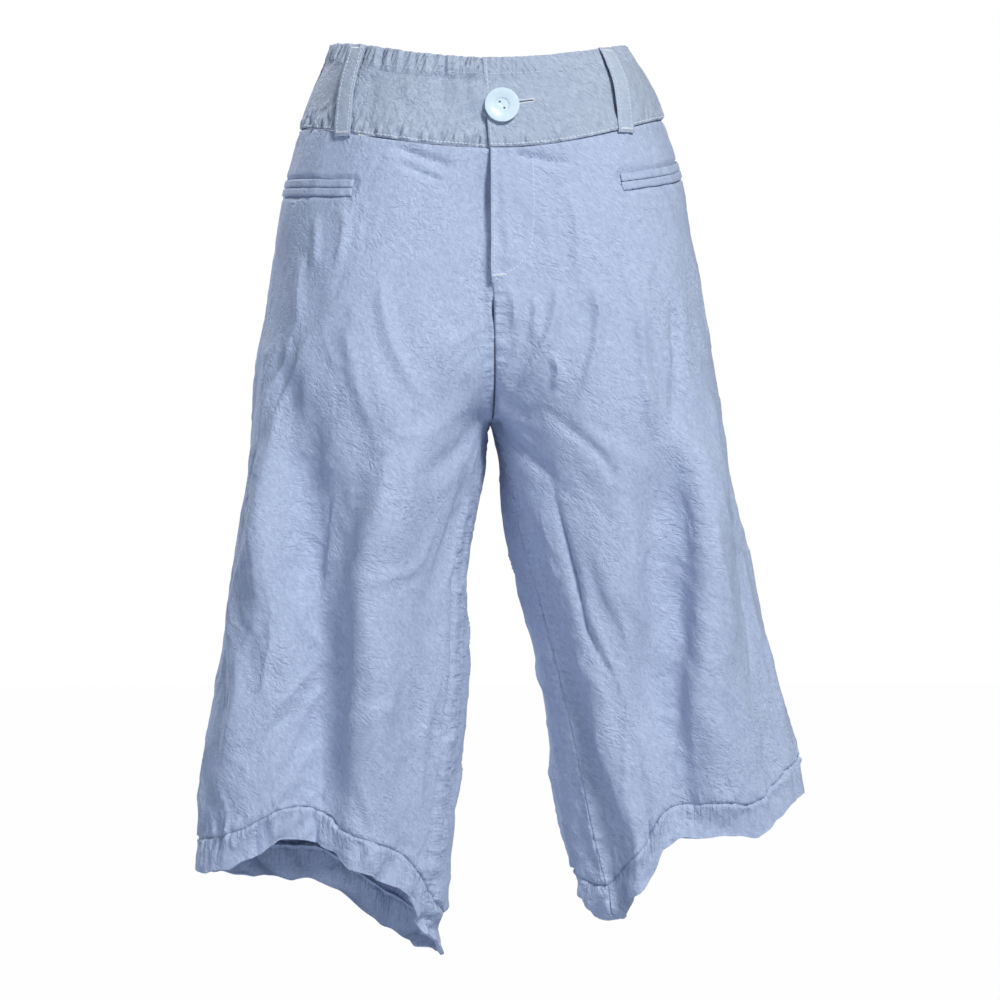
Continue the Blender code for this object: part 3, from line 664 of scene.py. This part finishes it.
def linen_finish(name, light, dark, crinkle, depth):
    """A linen material; depth is how deep its crinkles are, in millimetres."""
    material, tree, shader = new_finish(name, Specular_IOR_Level=0.25, Sheen_Weight=0.1,
                                        Sheen_Roughness=0.6, Sheen_Tint=(0.85, 0.9, 1.0, 1.0))
    cloth = tree.nodes.new("ShaderNodeGroup")
    cloth.node_tree = linen
    cloth.inputs["Light yarn"].default_value = (*light, 1.0)
    cloth.inputs["Dark yarn"].default_value = (*dark, 1.0)
    cloth.inputs["Crinkle"].default_value = crinkle
    laid_out = new_node(tree, "UVMap", uv_map="cloth")
    gathered = new_node(tree, "Attribute", attribute_name="gathers")
    bump = new_node(tree, "Bump", Strength=1.0, Distance=depth * MM)
    for origin, end in ((laid_out.outputs["UV"], cloth.inputs["Cloth"]),
                        (gathered.outputs["Vector"], cloth.inputs["Gathers"]),
                        (cloth.outputs["Colour"], shader.inputs["Base Color"]),
                        (cloth.outputs["Roughness"], shader.inputs["Roughness"]),
                        (cloth.outputs["Height"], bump.inputs["Height"]),
                        (bump.outputs["Normal"], shader.inputs["Normal"])):
        tree.links.new(origin, end)
    return material


panel_linen = linen_finish("panel linen", light=(0.52, 0.58, 0.755), dark=(0.345, 0.39, 0.535),
                           crinkle=1.0, depth=1.0)

panels, legs = {}, {}
for number, (node, (toward, run)) in enumerate(PANELS.items()):
    cloth = Cloth(node, toward, run, PANEL_CELL, CORNER)
    cloth.smooth_down(CROTCH, reach=45.0, times=120)
    cloth.face_centre(CROTCH, reach=18.0)
    for places, rise, inward, outward, soft in CREASES[node]:
        cloth.crease(places, rise * DEEPER, inward, outward, soft)
    slack = HIP_SLACK + (1.0 - HIP_SLACK) * ease((HIPS - cloth.height) / SLACK_RUN)
    for size, stretch, lean, mirrored, rise, seed, sharp in CRUMPLES:
        lean *= run if mirrored else 1
        cloth.crumple(size, stretch, lean, rise * slack, seed + number, sharp)
    if node in POCKET_LINES:
        nearest, _, _ = cloth.beside(POCKET_LINES[node])
        cloth.lift -= TRAY_DEPTH * (1.0 - ease((nearest - TRAY_HALF) / PANEL_CELL))
    # the fly: the wearer's left side stands out over the right one
    sewn = ease((FLY_END - cloth.height) / FLY_CLOSING) if toward < 0 else np.ones(cloth.lift.shape)
    far_from_fly = cloth.from_start + FLY_CLEAR * (1.0 - sewn)
    seams = np.minimum(np.minimum(far_from_fly, cloth.from_end), cloth.from_top)
    cloth.lift *= ease(seams / SEAM_FLAT)
    open_fly = (1.0 - sewn) * fade(cloth.from_start, FLY_REACH, 2)
    cloth.lift += open_fly * (FLY_RISE if node == "front_left" else -FLY_SINK)
    # the right inseam: its line shows on the front, and the strip beyond it is gathered
    if node == "front_right":
        rolled = cloth.level(cloth.from_start, ROLLED, axis=0)
        rolls = ease((ROLL_TOP - cloth.height) / ROLL_RUN)
        cloth.lift += ROLL_STEP * rolls * (1.0 - ease(rolled / ROLL_EDGE + 0.5))
        cloth.groove(rolled - 0.5 * ROLL_EDGE, width=2.0, depth=4.6 * rolls)
        cloth.pucker(cloth.height, np.maximum(-rolled, 0.0), size=7.0, reach=24.0,
                     rise=1.6 * rolls, seed=41.0)
        cloth.gather(ACROSS, np.abs(rolled + 11.0), reach=15.0, amount=1.0 * rolls)
    cloth.pucker(cloth.height, far_from_fly, size=5.5, reach=20.0, rise=1.3, seed=21.0 + number)
    cloth.gather(ACROSS, far_from_fly, reach=20.0, amount=1.0)
    cloth.gather(DOWN, cloth.from_top, reach=16.0, amount=0.5)
    cloth.pucker(cloth.height, cloth.from_end, size=12.0, reach=14.0, rise=0.6, seed=26.0 + number)
    cloth.pucker(cloth.stripe, cloth.from_top, size=7.0, reach=18.0, rise=1.0, seed=31.0 + number)
    cloth.groove(seams, width=7.0, depth=0.7)
    cloth.groove(seams, width=1.6, depth=3.4)
    # the hem: one step thicker, drawn in at its stitches, its edge wavy and a little curled
    cloth.lift += HEM_STEP * (1.0 - ease((cloth.from_low - HEM_DEPTH + 1.0) / HEM_STEP_RUN))
    cloth.hem_line = cloth.level(cloth.from_low, HEM_DEPTH)
    cloth.groove(cloth.hem_line, width=2.6, depth=2.6)
    cloth.gather(DOWN, np.abs(cloth.hem_line + 5.0), reach=20.0, amount=1.2)
    cloth.pucker(cloth.stripe + 0.3 * cloth.from_low, np.abs(cloth.hem_line), size=5.5,
                 reach=28.0, rise=2.0, seed=36.0 + number)
    corner = fade(cloth.from_start, CORNER_WAVY, 1.5)
    near_hem = fade(cloth.from_low, HEM_WAVY, 1.5)
    for size, seed, out, corner_out, down, corner_down in HEM_WAVES:
        wave = near_hem * cloth.waves(size, seed)
        cloth.lift += wave * (out + corner_out * corner)
        cloth.drop += wave * (down + corner_down * corner)
    cloth.drop -= CORNER_RISE * near_hem * corner ** 3
    cloth.settle()
    panels[node] = cloth
    legs[node] = cloth.mesh(node.replace("front", "front_panel").replace("back", "back_panel"),
                            CLOTH_WALL, HEM_WALL, TURNED_IN)
    legs[node].data.materials.append(panel_linen)
    declare(legs[node], [node])


# =========================================================================================
# Waistband.  A straight band of the same linen, doubled over a stiffener, in two fronts and
# a back.  It is topstitched along both edges; the wearer's left end laps over the right.
# =========================================================================================

BAND_CELL, BAND_THICK = 1.5, 2.0
TOP_STITCH, LOW_STITCH, END_STITCH = 14.0, 1.9, 2.0
BANDS = {                           # node: how it looks and runs, how much it is drawn in
    "waistband_front_right": (-1, -1, 1.5),
    "waistband_front_left": (-1, 1, 0.8),
    "waistband_back": (1, 1, 1.0),
}

BAND_CREASES = {                    # as those of the panels
    "waistband_front_right": (
        (((.13, -20), (.15, -42), (.13, -68)), 3.2, 12, 19, 0.6),
        (((.21, -16), (.22, -40), (.20, -68)), 4.2, 12, 18, 0.6),
        (((.34, -20), (.33, -44), (.30, -66)), -3.0, 14, 12, 0.6),
        (((.46, -30), (.44, -46), (.42, -60)), 1.5, 8, 8, 0.4),
        (((.28, -30), (.25, -44), (.25, -62)), -1.4, 5, 7, 0.3),
        (((.60, -30), (.57, -45), (.56, -62)), -1.5, 8, 10, 0.4),
    ),
    "waistband_front_left": (
        (((.56, -34), (.54, -50), (.55, -66)), -1.0, 8, 8, 0.4),
        (((.40, -36), (.36, -42), (.30, -44)), -0.9, 5, 6, 0.3),
        (((.68, -34), (.66, -50), (.67, -66)), 1.0, 8, 8, 0.4),
    ),
}

# The panels' linen made darker and greyer for the band: painted shade, as the band's front reads
# darker under the light.
band_linen_with_painted_shade = linen_finish("band linen with painted shade", light=(0.49, 0.54, 0.66), dark=(0.31, 0.345, 0.44),
                          crinkle=1.0, depth=1.0)

bands = {}
for number, (node, (toward, run, drawn_in)) in enumerate(BANDS.items()):
    cloth = Cloth(node, toward, run, BAND_CELL)
    for crease in BAND_CREASES.get(node, ()):
        cloth.crease(*crease)
    cloth.crumple(34.0, stretch=1.6, lean=20.0, rise=0.9 * drawn_in, seed=51.3 + number)
    cloth.crumple(13.0, stretch=2.4, lean=-30.0, rise=0.75 * drawn_in, seed=55.3 + number,
                  sharp=0.8)
    cloth.pucker(cloth.stripe, cloth.from_low, size=4.0, reach=28.0, rise=2.0 * drawn_in,
                 seed=61.0 + number)
    cloth.gather(DOWN, cloth.from_low - 3.0, reach=21.0, amount=0.9 * drawn_in)
    cloth.gather(DOWN, cloth.from_top - TOP_STITCH, reach=6.0, amount=0.9 * drawn_in)
    edging = np.maximum(cloth.from_top - TOP_STITCH, 0.0) + SEAM_HOLD
    cloth.pucker(cloth.stripe, edging, size=3.2, reach=10.0, rise=1.7 * drawn_in,
                 seed=65.0 + number)
    for line, width, depth in ((cloth.from_low, 1.5, 0.9),
                               (cloth.from_low - LOW_STITCH, 1.6, 0.45),
                               (cloth.from_top - TOP_STITCH, 1.8, 0.35),
                               (cloth.from_top, 1.8, 0.5),
                               (cloth.from_start, 1.8, 0.5)):
        cloth.groove(line, width, depth)
    cloth.settle()
    bands[node] = cloth
    band = cloth.mesh(node.replace("waistband", "band"), BAND_THICK)
    band.data.materials.append(band_linen_with_painted_shade)
    declare(band, [node])


# =========================================================================================
# Belt loops.  Five folded strips of linen, stitched down both edges, laid over the band and
# caught by a bar of zigzag at each end.
# =========================================================================================

LOOP_CELL, LOOP_THICK = 1.0, 1.5
LOOP_STITCH, LOOP_BAR = 2.6, 3.0    # how far in from the sides and from the ends
LOOPS = {
    "belt_loop_front_right": (-1, -1),
    "belt_loop_front_left": (-1, 1),
    "belt_loop_side_back_right": (1, -1),
    "belt_loop_side_back_left": (1, 1),
    "belt_loop_centre_back": (1, 1),
}

trim_linen = linen_finish("trim linen", light=(0.50, 0.55, 0.67), dark=(0.38, 0.42, 0.52),
                          crinkle=0.9, depth=0.6)

loops = {}
for number, (node, (toward, run)) in enumerate(LOOPS.items()):
    cloth = Cloth(node, toward, run, LOOP_CELL)
    edge = np.minimum(cloth.from_start, cloth.from_end)
    cloth.crumple(10.0, stretch=1.4, lean=30.0, rise=0.25, seed=71.3 + number)
    cloth.pucker(cloth.from_top, np.abs(edge - LOOP_STITCH), size=3.2, reach=4.0, rise=0.5,
                 seed=75.0 + number)
    cloth.groove(edge, width=1.4, depth=0.6)
    cloth.groove(edge - LOOP_STITCH, width=1.3, depth=0.35)
    for end in (cloth.from_top, cloth.from_low):
        cloth.groove(end, width=4.5, depth=0.9)
    cloth.settle()
    loops[node] = cloth
    loop = cloth.mesh(node.replace("belt_loop", "loop"), LOOP_THICK)
    loop.data.materials.append(trim_linen)
    declare(loop, [node])


# =========================================================================================
# Pocket mouths.  Two lips of linen to each pocket, each a folded strip, set one above the
# other in the opening and sewn round it.
# =========================================================================================

LIP_CELL, LIP_THICK, LIP_PROUD = 0.8, 1.3, 0.4
LIP_SEARCH = 12.0                   # the panel lies within this far under a lip
LIPS = {                            # node: the panel that it is set in, how it runs
    "pocket_welt_upper_right": ("front_right", -1),
    "pocket_welt_lower_right": ("front_right", -1),
    "pocket_welt_upper_left": ("front_left", 1),
    "pocket_welt_lower_left": ("front_left", 1),
}

for number, (node, (panel, run)) in enumerate(LIPS.items()):
    cloth = Cloth(node, -1, run, LIP_CELL)
    lies_on = BVHTree.FromObject(legs[panel], bpy.context.evaluated_depsgraph_get())
    for i, row in enumerate(cloth.form):
        for j, point in enumerate(row):
            out = Vector(cloth.out[i, j])
            under, _, _, _ = lies_on.ray_cast(Vector(point) + out * LIP_SEARCH * MM, -out)
            cloth.form[i, j] = under + out * (TRAY_DEPTH + LIP_PROUD) * MM
    cloth.out = cloth.facing(cloth.form)
    cloth.pucker(cloth.across, cloth.from_top, size=9.0, reach=7.0, rise=0.35, seed=81.0 + number)
    edge = np.minimum(np.minimum(cloth.from_top, cloth.from_low),
                      np.minimum(cloth.from_start, cloth.from_end))
    cloth.groove(edge, width=1.4, depth=1.0)
    cloth.settle()
    lip = cloth.mesh(node.replace("pocket_welt", "pocket_lip"), LIP_THICK)
    lip.data.materials.append(panel_linen)
    declare(lip, [node])


# =========================================================================================
# Stitching.  Spun polyester thread, paler than the cloth: one row along each hem, two along
# the waistband, two down each belt loop and one round the fly, with zigzag bars at their ends.
# =========================================================================================

PITCH, STITCH_LENGTH, THREAD, CORD = 3.3, 2.7, 0.75, 1.15
BAR_PITCH, BAR_HEIGHT = 0.55, 2.0
FLY_TOP, FLY_BAR, BAR_REACH = -94.0, -197.0, 0.045
FLY_STITCH = (                      # share across the panel, height
    (.148, -92), (.146, -125), (.138, -158), (.122, -178), (.085, -191), (.04, -196),
)

bpy.ops.object.select_all(action="DESELECT")
bpy.ops.mesh.primitive_uv_sphere_add(segments=6, ring_count=6, radius=0.5)
stitch = bpy.context.object
bpy.ops.object.mode_set(mode="EDIT")
bpy.ops.transform.rotate(value=math.radians(90), orient_axis="Y", center_override=(0, 0, 0))
bpy.ops.object.mode_set(mode="OBJECT")
stitch_points = np.array([tuple(vert.co) for vert in stitch.data.vertices])
stitch_points[:, 1:] *= 1.0 + 0.35 * np.cos(stitch_points[:, :1] * math.pi)    # full in its middle
stitch_faces = [tuple(face.vertices) for face in stitch.data.polygons]
bpy.data.objects.remove(stitch)


def seam_line(cloth, shares, measure, amount):
    """Points and directions along a line at one distance from an edge."""
    return [cloth.place(share, cloth.row(share, measure, amount)) for share in shares]


def sew(line, pitch, length, width, cross=False):
    """Stitches along a line, or across it as in a zigzag bar: place, turn and size of each."""
    points = np.array([point for point, out in line])
    outs = np.array([out for point, out in line])
    run = np.concatenate([[0.0], np.cumsum(np.linalg.norm(np.diff(points, axis=0), axis=1))])
    made = []
    for at in np.arange(0.5 * pitch, run[-1] / MM, pitch) * MM:
        here = np.array([np.interp(at, run, points[:, k]) for k in range(3)])
        back, on = (np.array([np.interp(at + way, run, points[:, k]) for k in range(3)])
                    for way in (-MM, MM))
        out = Vector([np.interp(at, run, outs[:, k]) for k in range(3)]).normalized()
        along = Vector(on - back)
        along = (along - out * along.dot(out)).normalized()
        if cross:
            along = along.cross(out)
        turn = np.array((along, out.cross(along), out)).T
        made.append((here, turn, (length * MM, width * MM, width * 0.8 * MM)))
    return made


def thread_piece(name, stitches, material):
    """All the stitches of one kind as one mesh."""
    verts = np.concatenate([(stitch_points * size) @ turn.T + here
                            for here, turn, size in stitches])
    count = len(stitch_points)
    faces = [tuple(v + k * count for v in face)
             for k in range(len(stitches)) for face in stitch_faces]
    mesh = bpy.data.meshes.new(name)
    mesh.from_pydata(verts.tolist(), [], faces)
    mesh.shade_smooth()
    piece = bpy.data.objects.new(name, mesh)
    bpy.context.collection.objects.link(piece)
    mesh.materials.append(material)
    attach(piece, "root")
    return piece


def thread_finish(name, colour, darker):
    """Spun thread: two shades along it and a fine twist."""
    material, tree, shader = new_finish(name, Roughness=0.6)
    place = tree.nodes.new("ShaderNodeTexCoord")
    shades = new_node(tree, "TexNoise", Scale=260.0, Detail=2.0)
    twist = new_node(tree, "TexWave", Scale=900.0, Distortion=2.0, bands_direction="DIAGONAL")
    bump = new_node(tree, "Bump", Strength=0.5, Distance=0.1 * MM)
    for texture in (shades, twist):
        tree.links.new(place.outputs["Object"], texture.inputs["Vector"])
    tree.links.new(mixed(tree, shades.outputs["Fac"], darker, colour), shader.inputs["Base Color"])
    tree.links.new(twist.outputs["Fac"], bump.inputs["Height"])
    tree.links.new(bump.outputs["Normal"], shader.inputs["Normal"])
    return material


thread = thread_finish("sewing thread", (0.78, 0.80, 0.86), (0.56, 0.58, 0.66))
hem_thread = thread_finish("hem thread", (0.62, 0.66, 0.77), (0.46, 0.50, 0.61))
evenly = np.linspace(0.003, 0.997, 160)


def stitched(line, width=THREAD):
    """A plain row of stitches along a line."""
    return sew(line, PITCH, STITCH_LENGTH, width)


def lengthwise(cloth, share, count):
    """Points and directions from the top of a piece to its low edge."""
    return [cloth.place(share, row) for row in np.linspace(1.0, len(cloth.form) - 2.0, count)]


for node, cloth in panels.items():
    row = stitched(seam_line(cloth, evenly, cloth.hem_line, 0.0))
    thread_piece("hem_stitches_" + node, row, hem_thread)

band_rows, top_rows = [], []
for cloth in bands.values():
    top_rows += stitched(seam_line(cloth, evenly, cloth.from_top, TOP_STITCH))
    band_rows += stitched(seam_line(cloth, evenly, cloth.from_low, LOW_STITCH), CORD)
lap = bands["waistband_front_left"]
band_rows += stitched(lengthwise(lap, END_STITCH / lap.wide.mean(), 40))
thread_piece("band_stitches", band_rows, thread)
thread_piece("band_top_stitches", top_rows, hem_thread)

loop_rows, bars = [], []
for cloth in loops.values():
    strip = cloth.wide.mean()
    for share in (LOOP_STITCH / strip, 1.0 - LOOP_STITCH / strip):
        loop_rows += stitched(lengthwise(cloth, share, 60))
    for measure in (cloth.from_top, cloth.from_low):
        line = seam_line(cloth, np.linspace(0.14, 0.86, 20), measure, LOOP_BAR)
        bars += sew(line, BAR_PITCH, BAR_HEIGHT, THREAD, cross=True)
thread_piece("loop_stitches", loop_rows, thread)

upper_front = panels["front_left"]
knots = np.arange(len(FLY_STITCH), dtype=float)
curve = spline(knots, np.linspace(0.0, knots[-1], 60)) @ np.array(FLY_STITCH)
fly_line = [upper_front.place(share, upper_front.row(share, upper_front.height, height))
            for share, height in curve]
fly_edge = [upper_front.place(END_STITCH / upper_front.wide[0],
                              upper_front.row(0.01, upper_front.height, height))
            for height in np.linspace(FLY_TOP, FLY_BAR, 40)]
thread_piece("fly_stitches", stitched(fly_line) + stitched(fly_edge), thread)
fly_bar = seam_line(upper_front, np.linspace(0.002, BAR_REACH, 20), upper_front.height, FLY_BAR)
bars += sew(fly_bar, BAR_PITCH, BAR_HEIGHT, THREAD, cross=True)
thread_piece("zigzag_bars", bars, thread)


# =========================================================================================
# Button.  A large two-hole shell button, turned with a raised rim and a dished middle, in a
# worked buttonhole that runs on past it along the band.
# =========================================================================================

BUTTON_RADIUS, BUTTON_THICK = 14.0, 3.4
RIM_STEPS = (                       # inset from the edge before, then moved up by this
    (1.2, 0.0), (5.3, -0.25), (1.5, -0.55), (0.7, -0.75), (1.6, -0.05),
)
HOLE_RADIUS, HOLE_OFF, HOLE_TURN, DRILL_LENGTH = 0.9, 3.1, math.radians(-54), 20.0
SLIT_START, SLIT_END, SLIT_HEIGHT, SLIT_RISE = 12.0, 50.0, -57.5, 0.12
SLIT_HALF, SLIT_STITCHES, SLIT_PITCH, SLIT_THREAD = 1.1, 30, 0.6, 0.6

solid = bmesh.new()
solid.from_mesh(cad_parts["button"].data)
button_points = np.array([tuple(vert.co) for vert in solid.verts])
solid.free()
middle = button_points.mean(axis=0)
axis = np.linalg.svd(button_points - middle, full_matrices=False)[2][2]
axis *= -np.sign(axis[1])
reach = (button_points - middle) @ axis
seat = middle + axis * reach.min()
turn = Vector(axis).to_track_quat("Z", "Y").to_matrix().to_4x4()

bpy.ops.object.select_all(action="DESELECT")
bpy.ops.mesh.primitive_cylinder_add(vertices=96, radius=BUTTON_RADIUS * MM,
                                    depth=BUTTON_THICK * MM,
                                    location=(0.0, 0.0, 0.5 * BUTTON_THICK * MM))
button = bpy.context.object
button.name = "shell_button"
bpy.ops.object.transform_apply(location=True)
bpy.ops.object.mode_set(mode="EDIT")
bpy.ops.mesh.select_all(action="DESELECT")
bpy.ops.object.mode_set(mode="OBJECT")
for face in button.data.polygons:
    face.select = face.normal.z > 0.9
bpy.ops.object.mode_set(mode="EDIT")
bpy.ops.mesh.select_mode(type="FACE")
for width, lift in RIM_STEPS:
    bpy.ops.mesh.inset(thickness=width * MM, depth=0.0)
    bpy.ops.transform.translate(value=(0.0, 0.0, lift * MM))
bpy.ops.object.mode_set(mode="OBJECT")
for side in (-1.0, 1.0):
    bpy.ops.mesh.primitive_cylinder_add(
        vertices=24, radius=HOLE_RADIUS * MM, depth=DRILL_LENGTH * MM,
        location=(side * HOLE_OFF * math.cos(HOLE_TURN) * MM,
                  side * HOLE_OFF * math.sin(HOLE_TURN) * MM, 0.0))
    drill = bpy.context.object
    hole = button.modifiers.new("hole", "BOOLEAN")
    hole.object = drill
    bpy.ops.object.select_all(action="DESELECT")
    bpy.context.view_layer.objects.active = button
    button.select_set(True)
    bpy.ops.object.modifier_apply(modifier=hole.name)
    bpy.data.objects.remove(drill)
soften = button.modifiers.new("turned edges", "BEVEL")
soften.width = 0.5 * MM
soften.segments = 3
soften.limit_method = "ANGLE"
soften.angle_limit = math.radians(25)
bpy.ops.object.modifier_apply(modifier=soften.name)
bpy.ops.object.shade_smooth_by_angle(angle=math.radians(40))
button.data.transform(Matrix.Translation(Vector(seat)) @ turn)

shell, tree, shader = new_finish("button shell", Roughness=0.22, Coat_Weight=0.5,
                                 Coat_Roughness=0.08)
place = tree.nodes.new("ShaderNodeTexCoord")
clouds = new_node(tree, "TexNoise", Scale=90.0, Detail=3.0, Distortion=1.5)
pearl = mixed(tree, clouds.outputs["Fac"], (0.58, 0.70, 0.78), (0.76, 0.85, 0.90))
tree.links.new(place.outputs["Object"], clouds.inputs["Vector"])
tree.links.new(pearl, shader.inputs["Base Color"])
button.data.materials.append(shell)
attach(button, "root")
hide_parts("button")

slit_run = np.linspace(SLIT_START, SLIT_END, SLIT_STITCHES) / lap.wide.mean()


def beside_slit(off):
    """Points and directions along the buttonhole, a little above or below its middle."""
    return [lap.place(share, lap.row(share, lap.height, SLIT_HEIGHT + off + SLIT_RISE * at))
            for at, share in enumerate(slit_run)]


buttonhole = []
for off in (-SLIT_HALF, SLIT_HALF):
    buttonhole += sew(beside_slit(off), SLIT_PITCH, 1.6, SLIT_THREAD, cross=True)
far_end, end_height = slit_run[-1], SLIT_HEIGHT + (SLIT_STITCHES - 1.0) * SLIT_RISE
bar = [lap.place(far_end, lap.row(far_end, lap.height, end_height + off))
       for off in np.linspace(-1.6, 1.6, 10)]
buttonhole += sew(bar, SLIT_PITCH, 2.0, SLIT_THREAD, cross=True)
thread_piece("buttonhole_stitches", buttonhole, thread)

# The buttonhole's opening is painted shadow: a near-black sliver of linen laid flush along the slit.
slit_painted_shadow = linen_finish("painted slit shadow", light=(0.10, 0.10, 0.14), dark=(0.05, 0.05, 0.08),
                        crinkle=0.5, depth=0.3)
thread_piece("buttonhole_slit", sew(beside_slit(0.0), 1.2, 2.4, 0.8), slit_painted_shadow)


# =========================================================================================
# Studio.  A pale floor well below the hems, a large key light high in front and a little to
# the wearer's left, a weak blue fill from low on the other side, a light behind, and a camera
# level with the hips.
# =========================================================================================

FLOOR = -1.02                       # metres, as all of the studio's sizes are
STAND_OFF, TURN, TILT = 3.0, math.radians(-3.5), math.radians(1.0)
AIM_ASIDE, AIM_HEIGHT = 0.0126, -0.37968
VIEW_WIDTH = 0.84                   # what the camera takes in at the garment, in metres


def seen_as(tree, lit, seen, output):
    """One look for what lights the garment and another for what the camera sees."""
    ray = tree.nodes.new("ShaderNodeLightPath")
    either = tree.nodes.new("ShaderNodeMixShader")
    tree.links.new(ray.outputs["Is Camera Ray"], either.inputs["Fac"])
    tree.links.new(lit.outputs[0], either.inputs[1])
    tree.links.new(seen.outputs[0], either.inputs[2])
    tree.links.new(either.outputs[0], output.inputs["Surface"])


bpy.ops.mesh.primitive_plane_add(size=14.0, location=(0.0, 0.0, FLOOR))
floor = bpy.context.object
floor.name = "floor"
paint, tree, shader = new_finish("floor paint", Base_Color=(0.45, 0.5, 0.6, 1.0), Roughness=0.9)
glow = new_node(tree, "Emission", Color=(0.99, 0.99, 1.0, 1.0), Strength=1.0)
seen_as(tree, shader, glow, tree.nodes["Material Output"])
floor.data.materials.append(paint)


def soft_light(name, place, target, size, power, colour):
    """A square area light that looks at a place."""
    bpy.ops.object.light_add(type="AREA", location=place)
    lamp = bpy.context.object
    lamp.name = name
    lamp.data.size = size
    lamp.data.energy = power
    lamp.data.color = colour
    lamp.rotation_euler = (Vector(target) - Vector(place)).to_track_quat("-Z", "Y").to_euler()


soft_light("key light", (1.60, -3.66, 2.85), (0.0, 0.0, -0.3), 1.0, 246.0, (0.93, 0.985, 0.985))
soft_light("low fill", (-2.1, -1.9, -0.9), (0.0, 0.0, -0.5), 1.4, 20.0, (0.68, 0.82, 1.0))
soft_light("back light", (-1.5, 2.5, 1.7), (0.0, 0.0, -0.3), 0.9, 100.0, (0.95, 0.98, 1.0))

world = bpy.context.scene.world or bpy.data.worlds.new("studio")
bpy.context.scene.world = world
world.use_nodes = True
sky = world.node_tree
sky.nodes.clear()
seen = new_node(sky, "Background", Color=(1.0, 1.0, 1.0, 1.0), Strength=1.0)
lit = new_node(sky, "Background", Color=(0.93, 0.95, 1.0, 1.0), Strength=0.13)
seen_as(sky, lit, seen, sky.nodes.new("ShaderNodeOutputWorld"))
bpy.context.scene.view_settings.view_transform = "Standard"

ahead = Vector((-math.sin(TURN) * math.cos(TILT), math.cos(TURN) * math.cos(TILT), -math.sin(TILT)))
aside = Vector((math.cos(TURN), math.sin(TURN), 0.0))
aim = Vector((0.0, 0.0, AIM_HEIGHT)) + aside * AIM_ASIDE
bpy.ops.object.camera_add(location=aim - ahead * STAND_OFF,
                          rotation=ahead.to_track_quat("-Z", "Y").to_euler())
camera = bpy.context.object
camera.name = "camera"
camera.data.lens = camera.data.sensor_width * STAND_OFF / VIEW_WIDTH
bpy.context.scene.camera = camera
